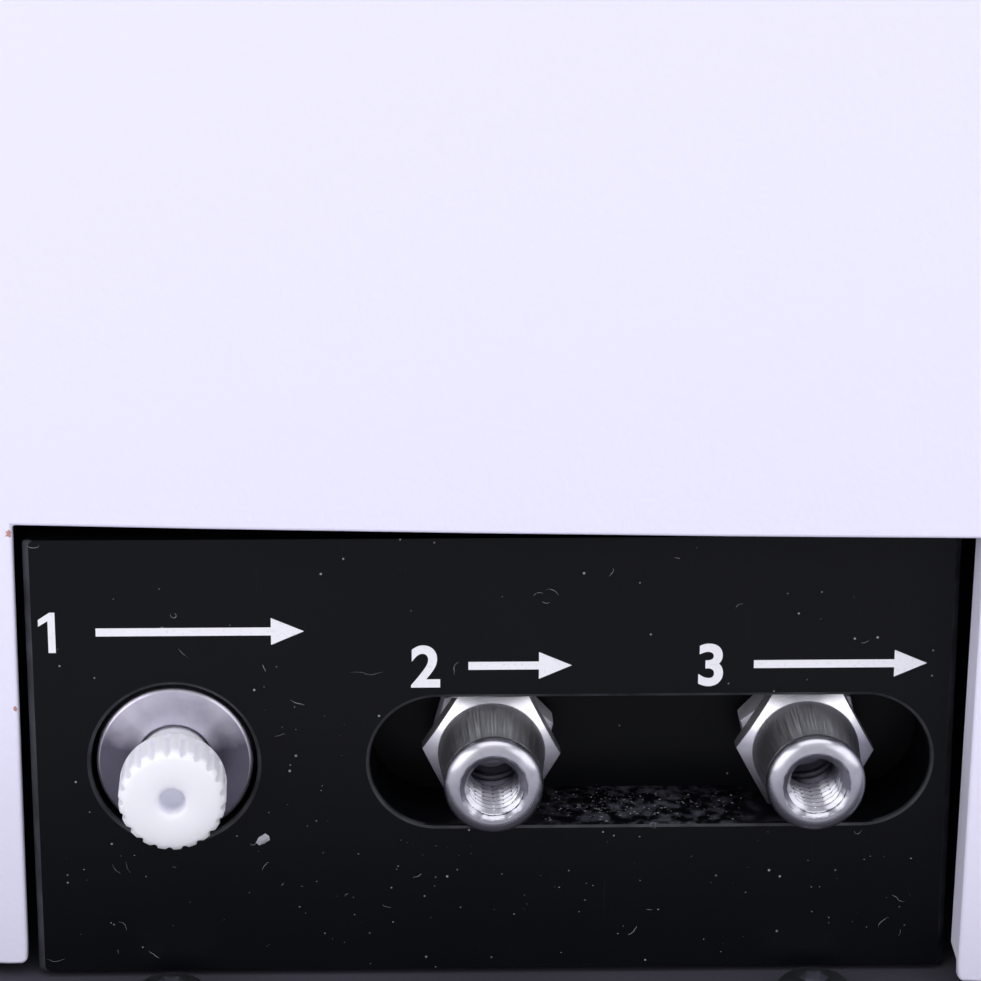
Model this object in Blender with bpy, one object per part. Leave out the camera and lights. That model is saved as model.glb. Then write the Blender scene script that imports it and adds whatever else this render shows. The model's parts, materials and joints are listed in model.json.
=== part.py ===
"""A benchtop autosampler for liquid chromatography, as named pieces at their real size.

Metres, +Z up, front towards -Y. The origin is on the bench under the middle of the base. The port block at the
front left, with its solvent port and its inlet and outlet unions, is the part of the object that can be measured:
its ports lie one inch apart. The rest is laid out round it as such instruments are.
"""

import math

import bmesh
import bpy
from mathutils import Matrix, Vector

MM = 0.001
INCH = 25.4 * MM

# Driving dimensions of the case. Its front is gently bowed, so that its face turns away towards either side.
CASE_WIDTH = 340 * MM
BASE_DEPTH = 460 * MM
FOOT_HEIGHT = 12 * MM
BASE_HEIGHT = 14 * MM
LEDGE = 24 * MM
REAR_LEDGE = 6 * MM
SHEET = 1.2 * MM
BOW_RADIUS = 1600 * MM

# Gaps between pieces at rest, round what moves, and how far a cutter runs past what it cuts
TOUCH = 0.3 * MM
RUNNING = 0.4 * MM
OVERRUN = 6 * MM

LEDGE_TOP = FOOT_HEIGHT + BASE_HEIGHT
DECK_HEIGHT = 86 * MM
DECK_TOP = LEDGE_TOP + DECK_HEIGHT
CHAMBER_WALL = 2.5 * MM
CHAMBER_FLOOR = DECK_TOP + TOUCH + CHAMBER_WALL
NEEDLE_ROOM = 73.2 * MM
CARRIAGE_LOW = CHAMBER_FLOOR + NEEDLE_ROOM
CARRIAGE_HEIGHT = 75 * MM
CARRIAGE_HIGH = CARRIAGE_LOW + CARRIAGE_HEIGHT
LIFT_MOTOR_LENGTH = 20 * MM
CEILING_GAP = 3 * MM
CHAMBER_CEILING = CARRIAGE_HIGH + LIFT_MOTOR_LENGTH + CEILING_GAP
CHAMBER_MARGIN = 4 * MM
DOOR_SILL = 3.2 * MM
DOOR_BOTTOM = CHAMBER_FLOOR + DOOR_SILL
DOOR_TOP = CHAMBER_CEILING - CHAMBER_MARGIN
DOOR_INSET = 18 * MM
TOTAL_HEIGHT = DOOR_TOP + DOOR_INSET

CASE_FRONT = LEDGE - BASE_DEPTH / 2
CASE_BACK = BASE_DEPTH / 2 - REAR_LEDGE
OUTWARD = (math.radians(90), 0, 0)
ALONG_X = (0, math.radians(90), 0)
MANY_SIDES = 32
SOME_SIDES = 16
FEW_SIDES = 8

for old in list(bpy.data.objects):
    bpy.data.objects.remove(old)


# Helpers: finishes, meshes and cuts

def finish(name, colour, metallic, roughness, alpha=1.0):
    """A Principled material; the colour is linear red, green and blue."""
    made = bpy.data.materials.get(name)
    if made is None:
        made = bpy.data.materials.new(name)
        made.use_nodes = True
        shader = made.node_tree.nodes["Principled BSDF"]
        shader.inputs["Base Color"].default_value = (*colour, 1.0)
        shader.inputs["Metallic"].default_value = metallic
        shader.inputs["Roughness"].default_value = roughness
        shader.inputs["Alpha"].default_value = alpha
    return made


WHITE_PAINT = finish("white_paint", (0.80, 0.79, 0.86), 0.0, 0.55)
GREY_PAINT = finish("grey_paint", (0.045, 0.044, 0.052), 0.0, 0.5)
BLACK_ANODISED = finish("black_anodised", (0.008, 0.009, 0.012), 0.3, 0.4)
STEEL = finish("stainless_steel", (0.60, 0.58, 0.60), 1.0, 0.22)
ZINC = finish("zinc_plate", (0.55, 0.56, 0.57), 1.0, 0.4)
WHITE_POLYMER = finish("white_polymer", (0.88, 0.89, 0.93), 0.0, 0.4)
BLACK_PLASTIC = finish("black_plastic", (0.02, 0.02, 0.022), 0.0, 0.45)
GREY_PLASTIC = finish("grey_plastic", (0.36, 0.37, 0.39), 0.0, 0.5)
RUBBER = finish("rubber", (0.015, 0.015, 0.015), 0.0, 0.8)
SMOKED = finish("smoked_acrylic", (0.05, 0.045, 0.045), 0.0, 0.08, 0.5)
GLASS = finish("clear_glass", (0.85, 0.9, 0.9), 0.0, 0.05, 0.35)
BOARD = finish("circuit_board", (0.02, 0.12, 0.05), 0.0, 0.5)


def mesh_of(shape, name):
    """A mesh from a bmesh, with its faces pointing out."""
    bmesh.ops.recalc_face_normals(shape, faces=shape.faces)
    mesh = bpy.data.meshes.new(name)
    shape.to_mesh(mesh)
    shape.free()
    return mesh


def piece(name, mesh, coat, place=(0, 0, 0), turn=(0, 0, 0), parent=None):
    """One object from a mesh, in its place."""
    made = bpy.data.objects.new(name, mesh)
    bpy.context.scene.collection.objects.link(made)
    if not mesh.materials:
        mesh.materials.append(coat)
        mesh.shade_smooth()
        mesh.set_sharp_from_angle(angle=math.radians(35))
    made.parent = parent
    made.location = place
    made.rotation_euler = turn
    return made


def pivot(name, place, turn=(0, 0, 0), parent=None):
    """An empty that carries pieces, on a joint's axis or at a group's datum."""
    made = bpy.data.objects.new(name, None)
    bpy.context.scene.collection.objects.link(made)
    made.parent = parent
    made.location = place
    made.rotation_euler = turn
    return made


def boolean(target, tool, operation):
    """Cuts with a helper object, joins it on, or keeps what both share."""
    step = target.modifiers.new(tool.name, "BOOLEAN")
    step.operation = operation
    step.object = tool
    step.solver = "EXACT"
    tool.hide_render = True
    tool.display_type = "WIRE"


def cut(target, tool):
    boolean(target, tool, "DIFFERENCE")


def join(target, tool):
    boolean(target, tool, "UNION")


def keep_common(target, tool):
    boolean(target, tool, "INTERSECT")


def helper(target, mesh, place=(0, 0, 0), turn=(0, 0, 0), parent=None):
    """A helper object for a boolean on a piece."""
    return piece("helper_" + target.name, mesh, target.data.materials[0], place, turn, parent)


def block_mesh(low, high, rounded=(), radius=0.0, steps=3):
    """A block between two corners. rounded names the edges to round, by the two outward sides that meet there."""
    shape = bmesh.new()
    size = [b - a for a, b in zip(low, high)]
    middle = [(a + b) / 2 for a, b in zip(low, high)]
    bmesh.ops.create_cube(shape, size=1, matrix=Matrix.Translation(middle) @ Matrix.Diagonal((*size, 1)))
    sides = {"left": (0, -1), "right": (0, 1), "front": (1, -1), "back": (1, 1), "bottom": (2, -1), "top": (2, 1)}

    def on(edge, side):
        axis, sign = sides[side]
        return all((v.co[axis] - middle[axis]) * sign > 0 for v in edge.verts)

    chosen = [e for e in shape.edges if any(on(e, a) and on(e, b) for a, b in rounded)]
    if chosen:
        bmesh.ops.bevel(shape, geom=chosen, offset=radius, segments=steps, profile=0.5, affect="EDGES")
    return mesh_of(shape, "block")


def ringed(shape, rings, closed=False):
    """Skins rings of points, each with as many points as the last; a ring of one point ends in a tip."""
    made = [[shape.verts.new(p) for p in ring] for ring in rings]
    pairs = list(zip(made, made[1:]))
    if closed:
        pairs.append((made[-1], made[0]))
    for lower, upper in pairs:
        count = max(len(lower), len(upper))
        for k in range(count):
            n = (k + 1) % count
            if len(lower) == 1 and len(upper) == 1:
                continue
            if len(lower) == 1:
                shape.faces.new((lower[0], upper[n], upper[k]))
            elif len(upper) == 1:
                shape.faces.new((lower[k], lower[n], upper[0]))
            else:
                shape.faces.new((lower[k], lower[n], upper[n], upper[k]))
    if not closed:
        for ring in (made[0], made[-1]):
            if len(ring) > 1:
                shape.faces.new(ring)
    return shape


def circle(radius, height, sides):
    """A ring of points round Z; a radius of zero is a tip."""
    if radius == 0:
        return [(0, 0, height)]
    angles = [2 * math.pi * k / sides for k in range(sides)]
    return [(radius * math.cos(a), radius * math.sin(a), height) for a in angles]


def turned_mesh(profile, sides=MANY_SIDES, closed=False):
    """A solid of revolution round Z. The profile is (radius, height) points, up the outside; closed makes a ring."""
    shape = ringed(bmesh.new(), [circle(radius, height, sides) for radius, height in profile], closed)
    return mesh_of(shape, "turned")


def rod_mesh(radius, start, end, sides=SOME_SIDES):
    return turned_mesh([(radius, start), (radius, end)], sides)


def lofted_mesh(sections):
    """A solid through outlines in XY, each given with its height."""
    return mesh_of(ringed(bmesh.new(), [[(x, y, z) for x, y in outline] for z, outline in sections]), "lofted")


def prism_mesh(outline, start, end):
    return lofted_mesh(((start, outline), (end, outline)))


def arc(centre_x, centre_y, radius, start, end, steps):
    """Points along an arc, angles in degrees."""
    angles = [math.radians(start + (end - start) * k / steps) for k in range(steps + 1)]
    return [(centre_x + radius * math.cos(a), centre_y + radius * math.sin(a)) for a in angles]


def rounded_rectangle(width, height, radius, steps=3):
    """The outline of a rectangle with round corners, about its middle."""
    x, y = width / 2 - radius, height / 2 - radius
    corners = ((x, y, 0), (-x, y, 90), (-x, -y, 180), (x, -y, 270))
    return [p for cx, cy, a in corners for p in arc(cx, cy, radius, a, a + 90, steps)]


def slot_outline(length, width, steps=10):
    """A slot with half-round ends, about its middle."""
    run = (length - width) / 2
    return arc(run, 0, width / 2, -90, 90, steps) + arc(-run, 0, width / 2, 90, 270, steps)


def polygon(across_flats, sides=6, turn=0.0):
    """A regular polygon of the given width across its flats."""
    radius = across_flats / 2 / math.cos(math.pi / sides)
    angles = [turn + 2 * math.pi * k / sides for k in range(sides)]
    return [(radius * math.cos(a), radius * math.sin(a)) for a in angles]


def drill(target, radius, start, end, place=(0, 0, 0), turn=(0, 0, 0), parent=None, sides=SOME_SIDES):
    """A round hole through a piece, along the local Z of its place."""
    cut(target, helper(target, rod_mesh(radius, start, end, sides), place, turn, parent))


def hollow(target, low, high, parent=None):
    """A square-cornered cut between two corners."""
    cut(target, helper(target, block_mesh(low, high), parent=parent))


def bow(x):
    """How far the bowed front lies back at a place across the case."""
    return BOW_RADIUS - math.sqrt(BOW_RADIUS ** 2 - x ** 2)


def bow_turn(x):
    """The turn about Z of what stands square on the bowed front."""
    return math.asin(x / BOW_RADIUS)


def bowed_outline(low_x, high_x, setback, back, steps=10):
    """A plan outline between two places across the case, its front parallel to the bowed face."""
    places = [low_x + (high_x - low_x) * k / steps for k in range(steps + 1)]
    return [(x, CASE_FRONT + setback + bow(x)) for x in places] + [(high_x, back), (low_x, back)]


def bowed_panel(name, coat, low_x, high_x, low_z, high_z, setback, thickness, corner, parent=None):
    """A curved panel with round corners, parallel to the case's front, placed in the world."""
    places = [low_x + (high_x - low_x) * k / 10 for k in range(11)]
    front = [(x, CASE_FRONT + setback + bow(x)) for x in places]
    back = [(x, y + thickness) for x, y in reversed(front)]
    made = piece(name, prism_mesh(front + back, low_z - OVERRUN, high_z + OVERRUN), coat)
    window = rounded_rectangle(high_x - low_x, high_z - low_z, corner)
    middle = ((low_x + high_x) / 2, 0, (low_z + high_z) / 2)
    keep_common(made, helper(made, prism_mesh(window, 0, BASE_DEPTH), middle, OUTWARD))
    return made


# The base: a folded steel pan turned upside down, so that its flat top carries everything

BASE_INSET = 1 * MM
BASE_WIDTH = CASE_WIDTH - 2 * BASE_INSET
BASE_SHEET = 2 * MM
BASE_CORNER = 3 * MM


def base_pan():
    half_width, half_depth = BASE_WIDTH / 2, BASE_DEPTH / 2
    edges = (("left", "front"), ("right", "front"), ("left", "back"), ("right", "back"), ("front", "top"),
             ("back", "top"), ("left", "top"), ("right", "top"))
    pan = piece("base_pan", block_mesh((-half_width, -half_depth, FOOT_HEIGHT), (half_width, half_depth, LEDGE_TOP),
                                       edges, BASE_CORNER), GREY_PAINT)
    hollow(pan, (BASE_SHEET - half_width, BASE_SHEET - half_depth, FOOT_HEIGHT - OVERRUN),
           (half_width - BASE_SHEET, half_depth - BASE_SHEET, LEDGE_TOP - BASE_SHEET))
    return pan


# Four rubber feet, pushed up against the underside of the pan

FOOT_RADIUS = 15 * MM
FOOT_TAPER = 2 * MM
FOOT_EDGE = 1.5 * MM
FOOT_INSET_X = 32 * MM
FOOT_INSET_Y = 45 * MM


def rubber_feet():
    seat = LEDGE_TOP - BASE_SHEET - TOUCH
    shape = turned_mesh([(FOOT_RADIUS - FOOT_TAPER - FOOT_EDGE, 0), (FOOT_RADIUS - FOOT_TAPER, FOOT_EDGE),
                         (FOOT_RADIUS, seat)], SOME_SIDES)
    x, y = BASE_WIDTH / 2 - FOOT_INSET_X, BASE_DEPTH / 2 - FOOT_INSET_Y
    for name, sx, sy in (("front_left", -1, -1), ("front_right", 1, -1), ("rear_left", -1, 1), ("rear_right", 1, 1)):
        piece("foot_" + name, shape, RUBBER, (sx * x, sy * y, 0))


# The port block: black anodised aluminium, milled with a pocket for the two unions and a counterbore for the
# solvent coupling. It stands square to the base, its left edge flush with the bowed front.

PORT_PITCH = 1 * INCH
PORT_INSET = 70 * MM
PORT_X = PORT_INSET - CASE_WIDTH / 2
PORT_RISE = 18.3 * MM
BLOCK_WIDTH = 73.7 * MM
BLOCK_OFFSET = 0.15 * MM
BLOCK_HEIGHT = 37.1 * MM
BLOCK_THICKNESS = 9.6 * MM
BLOCK_CORNER = 1.2 * MM
BLOCK_EDGE = 0.4 * MM
POCKET_LENGTH = 45 * MM
POCKET_WIDTH = 10.9 * MM
POCKET_DEPTH = 8 * MM
PORT_EDGE = 0.35 * MM
COUNTERBORE_RADIUS = 6.65 * MM
COUNTERBORE_DEPTH = 5.2 * MM
STEM_RADIUS = 3.9 * MM

# The notch in the cover that the block shows through, open at the bottom, with a return flange down its right side
NOTCH_LEFT = -37.4 * MM
NOTCH_RIGHT = 36.9 * MM
NOTCH_TOP = 20 * MM
NOTCH_FILLET = 1.6 * MM
FLANGE_DEPTH = 4 * MM

PORT_Z = LEDGE_TOP + TOUCH + PORT_RISE
PORT_Y = CASE_FRONT + bow(PORT_X + NOTCH_LEFT)
PORT_FRAME = pivot("port_frame", (PORT_X, PORT_Y, PORT_Z), OUTWARD)


def port_block():
    """In the port frame X is to the right, Y up and Z out of the panel, with the inlet's axis at the origin."""
    rise = BLOCK_HEIGHT / 2 - PORT_RISE
    outline = rounded_rectangle(BLOCK_WIDTH, BLOCK_HEIGHT, BLOCK_CORNER, 2)
    face = rounded_rectangle(BLOCK_WIDTH - 2 * BLOCK_EDGE, BLOCK_HEIGHT - 2 * BLOCK_EDGE, BLOCK_CORNER - BLOCK_EDGE, 2)
    body = piece("port_block", lofted_mesh(((-BLOCK_THICKNESS, outline), (-BLOCK_EDGE, outline), (0, face))),
                 BLACK_ANODISED, (BLOCK_OFFSET, rise, 0), parent=PORT_FRAME)
    slot = slot_outline(POCKET_LENGTH, POCKET_WIDTH)
    lip = slot_outline(POCKET_LENGTH + 2 * PORT_EDGE, POCKET_WIDTH + 2 * PORT_EDGE)
    pocket = lofted_mesh(((-POCKET_DEPTH, slot), (-PORT_EDGE, slot), (0, lip), (OVERRUN, lip)))
    cut(body, helper(body, pocket, (PORT_PITCH / 2, 0, 0), parent=PORT_FRAME))
    bore = [(COUNTERBORE_RADIUS, -COUNTERBORE_DEPTH), (COUNTERBORE_RADIUS, -PORT_EDGE),
            (COUNTERBORE_RADIUS + PORT_EDGE, 0), (COUNTERBORE_RADIUS + PORT_EDGE, OVERRUN)]
    cut(body, helper(body, turned_mesh(bore), (-PORT_PITCH, 0, 0), parent=PORT_FRAME))
    for x in (-PORT_PITCH, 0, PORT_PITCH):
        drill(body, STEM_RADIUS + TOUCH, -BLOCK_THICKNESS - OVERRUN, -PORT_EDGE, (x, 0, 0), parent=PORT_FRAME)
    return body


# The bracket that carries the port block: a black steel angle screwed to the base behind it

BRACKET_SHEET = 2 * MM
BRACKET_WIDTH = 70 * MM
BRACKET_HEIGHT = 33 * MM
BRACKET_FOOT = 24 * MM
BRACKET_HOLE = 7 * MM


def port_bracket():
    back = -BLOCK_THICKNESS - TOUCH
    outline = [(back, -PORT_RISE), (back, BRACKET_HEIGHT - PORT_RISE),
               (back - BRACKET_SHEET, BRACKET_HEIGHT - PORT_RISE), (back - BRACKET_SHEET, BRACKET_SHEET - PORT_RISE),
               (back - BRACKET_FOOT, BRACKET_SHEET - PORT_RISE), (back - BRACKET_FOOT, -PORT_RISE)]
    ends = [[(x, y, z) for z, y in outline] for x in (-BRACKET_WIDTH / 2, BRACKET_WIDTH / 2)]
    angle = piece("port_bracket", mesh_of(ringed(bmesh.new(), ends), "angle"), BLACK_ANODISED, parent=PORT_FRAME)
    for x in (-PORT_PITCH, 0, PORT_PITCH):
        drill(angle, BRACKET_HOLE, back - BRACKET_SHEET - OVERRUN, back + OVERRUN, (x, 0, 0), parent=PORT_FRAME)
    return angle


# Two pan-head screws that hold the block's foot down through the ledge

SCREW_SPREAD = 25.9 * MM
SCREW_FORWARD = 4.2 * MM
SCREW_HEAD = 3 * MM
SCREW_HEAD_HEIGHT = 1.2 * MM
SCREW_SHANK = 1.5 * MM
SCREW_LENGTH = 7 * MM
SCREW_EDGE = 0.5 * MM


def ledge_screws(pan):
    """Heads on the ledge, shanks through it."""
    profile = [(0, -SCREW_LENGTH), (SCREW_SHANK, -SCREW_LENGTH), (SCREW_SHANK, 0), (SCREW_HEAD, 0),
               (SCREW_HEAD, SCREW_HEAD_HEIGHT - SCREW_EDGE), (SCREW_HEAD - SCREW_EDGE, SCREW_HEAD_HEIGHT),
               (0, SCREW_HEAD_HEIGHT)]
    shape = turned_mesh(profile, SOME_SIDES)
    for name, x in (("ledge_screw_left", PORT_X - SCREW_SPREAD), ("ledge_screw_right", PORT_X + SCREW_SPREAD)):
        y = PORT_Y - SCREW_FORWARD
        drill(pan, SCREW_SHANK + TOUCH, LEDGE_TOP - BASE_SHEET - OVERRUN, LEDGE_TOP + OVERRUN, (x, y, 0))
        piece(name, shape, ZINC, (x, y, LEDGE_TOP + TOUCH))


# Solvent port: a coupling in the counterbore, a ferrule, and a finger-tight nut with 28 threads to the inch

COUPLING_RADIUS = 6.25 * MM
COUPLING_FACE = -0.4 * MM
COUPLING_EDGE = 0.25 * MM
COUPLING_MOUTH = 3.3 * MM
COUPLING_LENGTH = 18 * MM
TUBE_RADIUS = 0.8 * MM
NUT_RADIUS = 4.2 * MM
NUT_FRONT_RADIUS = 3.9 * MM
NUT_NECK = 2.95 * MM
NUT_HEAD = 4.4 * MM
NUT_RIM = 0.4 * MM
NUT_FRONT = 8.1 * MM
NUT_TAPER = 0.9 * MM
NUT_ROUNDING = 0.4 * MM
NUT_BORE = 1.08 * MM
NUT_MOUTH = 0.35 * MM
NUT_FLUTES = 21
NUT_FLUTE_DEPTH = 0.32 * MM
NUT_THREAD_RADIUS = 2.85 * MM
NUT_THREAD_LENGTH = 7.8 * MM
FERRULE_RADIUS = 2.5 * MM
FERRULE_LENGTH = 3 * MM
FERRULE_TIP = 1.4 * MM


def solvent_port():
    centre = (-PORT_PITCH, 0, 0)
    nut_back = COUPLING_FACE + TOUCH
    thread_end = nut_back - NUT_THREAD_LENGTH
    ferrule_end = thread_end - TOUCH - FERRULE_LENGTH
    bore_end = ferrule_end - TOUCH
    floor = -COUNTERBORE_DEPTH + TOUCH
    wide = NUT_THREAD_RADIUS + TOUCH
    coupling = [(COUPLING_MOUTH, COUPLING_FACE), (wide, COUPLING_FACE - (COUPLING_MOUTH - wide)),
                (wide, bore_end), (TUBE_RADIUS + TOUCH, bore_end), (TUBE_RADIUS + TOUCH, -COUPLING_LENGTH),
                (STEM_RADIUS, -COUPLING_LENGTH), (STEM_RADIUS, floor), (COUPLING_RADIUS, floor),
                (COUPLING_RADIUS, COUPLING_FACE - COUPLING_EDGE),
                (COUPLING_RADIUS - COUPLING_EDGE, COUPLING_FACE)]
    piece("solvent_coupling", turned_mesh(coupling, 32, closed=True), STEEL, centre, parent=PORT_FRAME)
    carrier = pivot("nut_axis", centre, parent=PORT_FRAME)
    ferrule = [(TUBE_RADIUS, thread_end - TOUCH), (TUBE_RADIUS, ferrule_end), (FERRULE_TIP, ferrule_end),
               (FERRULE_RADIUS, thread_end - TOUCH)]
    piece("solvent_ferrule", turned_mesh(ferrule, SOME_SIDES, closed=True), WHITE_POLYMER, parent=carrier)
    ribbed = (1, 1, 0)
    steps = len(ribbed) * NUT_FLUTES
    head_back = NUT_FRONT - NUT_HEAD
    taper_start = NUT_FRONT - NUT_TAPER
    profile = [(NUT_BORE, NUT_FRONT - NUT_MOUTH, 0), (NUT_BORE, thread_end, 0),
               (NUT_THREAD_RADIUS, thread_end, 0), (NUT_THREAD_RADIUS, nut_back, 0), (NUT_NECK, nut_back, 0),
               (NUT_NECK, head_back, 0), (NUT_RADIUS, head_back, 0), (NUT_RADIUS, head_back + NUT_RIM, 0),
               (NUT_RADIUS, head_back + NUT_RIM + NUT_FLUTE_DEPTH, NUT_FLUTE_DEPTH),
               (NUT_RADIUS, taper_start, NUT_FLUTE_DEPTH),
               (NUT_FRONT_RADIUS, NUT_FRONT - NUT_ROUNDING, NUT_FLUTE_DEPTH / 2),
               (NUT_FRONT_RADIUS - NUT_ROUNDING, NUT_FRONT, 0), (NUT_BORE + NUT_MOUTH, NUT_FRONT, 0)]
    rings = []
    for radius, height, depth in profile:
        radii = [radius - depth * (1 - ribbed[k % len(ribbed)]) for k in range(steps)]
        angles = [2 * math.pi * k / steps for k in range(steps)]
        rings.append([(r * math.cos(a), r * math.sin(a), height) for r, a in zip(radii, angles)])
    nut = mesh_of(ringed(bmesh.new(), rings, closed=True), "nut")
    piece("solvent_nut", nut, WHITE_POLYMER, parent=carrier)


# Inlet and outlet: hexagon unions with a bored barrel, each with a jam nut behind its hexagon

UNION_FLATS = 9.7 * MM
UNION_FACE = -1.75 * MM
UNION_HEX = 2.2 * MM
UNION_LAND = 0.15 * MM
UNION_CHAMFER_DEPTH = 0.55 * MM
BARREL_BASE = 4.3 * MM
BARREL_NECK = 3.7 * MM
BARREL_NOSE = 3.93 * MM
BARREL_END = 5.83 * MM
BEAD_LENGTH = 1.4 * MM
BEAD_ROUNDING = 0.9 * MM
BEAD_CREST = 0.3 * MM
BORE_RADIUS = 2.1 * MM
BORE_MOUTH = 2.55 * MM
BORE_DEPTH = 9.8 * MM
UNION_STEM = 3.4 * MM
UNION_LENGTH = 17 * MM
JAM_HEIGHT = 3.4 * MM
JAM_FLATS = 9.2 * MM
INLET_TURN = math.radians(-2.8)
OUTLET_TURN = math.radians(-1.3)
INLET_JAM_TURN = math.radians(15.5)
OUTLET_JAM_TURN = math.radians(44)


def union(name, x, turn):
    """The barrel and stem are turned; the hexagon with its conical chamfer is joined on between them."""
    back = UNION_FACE - UNION_HEX
    profile = [(BORE_RADIUS, BARREL_END - (BORE_MOUTH - BORE_RADIUS)), (BORE_RADIUS, BARREL_END - BORE_DEPTH),
               (TUBE_RADIUS, BARREL_END - BORE_DEPTH), (TUBE_RADIUS, -UNION_LENGTH), (UNION_STEM, -UNION_LENGTH),
               (UNION_STEM, (back + UNION_FACE) / 2), (BARREL_BASE, (back + UNION_FACE) / 2),
               (BARREL_BASE, UNION_FACE), (BARREL_NECK, BARREL_END - BEAD_LENGTH - BEAD_CREST),
               (BARREL_NOSE, BARREL_END - BEAD_LENGTH), (BARREL_NOSE, BARREL_END - BEAD_ROUNDING),
               (BARREL_NOSE - BEAD_CREST, BARREL_END - BEAD_CREST), (BARREL_NOSE - BEAD_ROUNDING, BARREL_END),
               (BORE_MOUTH, BARREL_END)]
    made = piece(name, turned_mesh(profile, 24, closed=True), STEEL, (x, 0, 0), parent=PORT_FRAME)
    corners = UNION_FLATS / 2 / math.cos(math.pi / 6)
    hexagon = piece("hexagon_" + name, prism_mesh(polygon(UNION_FLATS, turn=turn), back, UNION_FACE), STEEL,
                    (x, 0, 0), parent=PORT_FRAME)
    land = BARREL_BASE + UNION_LAND
    cone = [(corners, back - TOUCH), (corners, UNION_FACE - UNION_CHAMFER_DEPTH), (land, UNION_FACE),
            (land, UNION_FACE + TOUCH)]
    keep_common(hexagon, helper(hexagon, turned_mesh(cone, 24), (x, 0, 0), parent=PORT_FRAME))
    drill(hexagon, (UNION_STEM + TUBE_RADIUS) / 2, back - OVERRUN, OVERRUN, (x, 0, 0), parent=PORT_FRAME)
    join(made, hexagon)
    hexagon.hide_render = True
    hexagon.display_type = "WIRE"


def jam_nut(name, x, turn):
    """A hexagon nut between a union's hexagon and the pocket's floor."""
    top = UNION_FACE - UNION_HEX - TOUCH
    nut = piece(name, prism_mesh(polygon(JAM_FLATS, turn=turn), top - JAM_HEIGHT, top), STEEL, (x, 0, 0),
                parent=PORT_FRAME)
    drill(nut, UNION_STEM + TOUCH, top - JAM_HEIGHT - OVERRUN, top + OVERRUN, (x, 0, 0), parent=PORT_FRAME, sides=24)


# The cover: white painted sheet steel, bowed in front, folded over at the sides and top, open at the back

CASE_CORNER = 8 * MM
TOP_ROUNDING = 5 * MM
COVER_LIFT = 1.1 * MM
COVER_BOTTOM = LEDGE_TOP + COVER_LIFT

# The doorway in the front, and the door in it
DOOR_LEFT = DOOR_INSET - CASE_WIDTH / 2
CONTROL_ZONE = 102 * MM
DOOR_RIGHT = CASE_WIDTH / 2 - CONTROL_ZONE
DOOR_GAP = 2 * MM
DOOR_CORNER = 5 * MM
DOORWAY_CORNER = 4 * MM
DOOR_THICKNESS = 7 * MM

# The control panel to the right of the door, and the power switch below it
PANEL_INSET = 52 * MM
PANEL_X = CASE_WIDTH / 2 - PANEL_INSET
PANEL_Z = 205 * MM
PANEL_WIDTH = 60 * MM
PANEL_HEIGHT = 118 * MM
PANEL_CORNER = 4 * MM
PANEL_PROUD = 1 * MM
PANEL_THICKNESS = 6 * MM
SWITCH_INSET = 40 * MM
SWITCH_X = CASE_WIDTH / 2 - SWITCH_INSET
SWITCH_Z = 56 * MM
SWITCH_WIDTH = 26 * MM
SWITCH_HEIGHT = 19 * MM
SWITCH_CORNER = 2 * MM

# Louvre slots along both sides near the back
VENT_COUNT = 6
VENT_PITCH = 9 * MM
VENT_LENGTH = 60 * MM
VENT_WIDTH = 3.5 * MM
VENT_INSET = 84 * MM
VENT_Y = CASE_BACK - VENT_INSET
VENT_Z = 140 * MM


def case_outline(inset, back):
    """The case in plan: a bowed front between two round corners, and a straight back."""
    centre = CASE_FRONT + BOW_RADIUS
    side = CASE_WIDTH / 2 - CASE_CORNER
    corner_y = centre - math.sqrt((BOW_RADIUS - CASE_CORNER) ** 2 - side ** 2)
    lean = math.degrees(math.asin(side / (BOW_RADIUS - CASE_CORNER)))
    front = arc(0, centre, BOW_RADIUS - inset, lean - 90 - 2 * lean, lean - 90, 16)
    right = arc(side, corner_y, CASE_CORNER - inset, lean - 90, 0, 5)
    left = arc(-side, corner_y, CASE_CORNER - inset, 180, 270 - lean, 5)
    return front[1:-1] + right + [(CASE_WIDTH / 2 - inset, back), (inset - CASE_WIDTH / 2, back)] + left


def case_shell(inset, bottom, back):
    """The case's body with its top edges rounded, or the space inside it."""
    top = TOTAL_HEIGHT - TOP_ROUNDING
    radius = TOP_ROUNDING - inset
    sections = [(bottom, case_outline(inset, back))]
    for k in range(4):
        a = math.radians(90 * k / 3)
        sections.append((top + radius * math.sin(a), case_outline(TOP_ROUNDING - radius * math.cos(a), back)))
    return lofted_mesh(sections)


def notch_outline():
    """The port notch in the port frame; its lower corners flare out into the cover's bottom edge."""
    bottom = COVER_BOTTOM - PORT_Z
    left = arc(NOTCH_LEFT - NOTCH_FILLET, bottom + NOTCH_FILLET, NOTCH_FILLET, 0, -90, 4)
    right = arc(NOTCH_RIGHT + NOTCH_FILLET, bottom + NOTCH_FILLET, NOTCH_FILLET, 180, 270, 4)
    low = bottom - OVERRUN
    return ([(NOTCH_LEFT, NOTCH_TOP)] + left + [(NOTCH_LEFT - NOTCH_FILLET, low), (NOTCH_RIGHT + NOTCH_FILLET, low)]
            + right[::-1] + [(NOTCH_RIGHT, NOTCH_TOP)])


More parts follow.
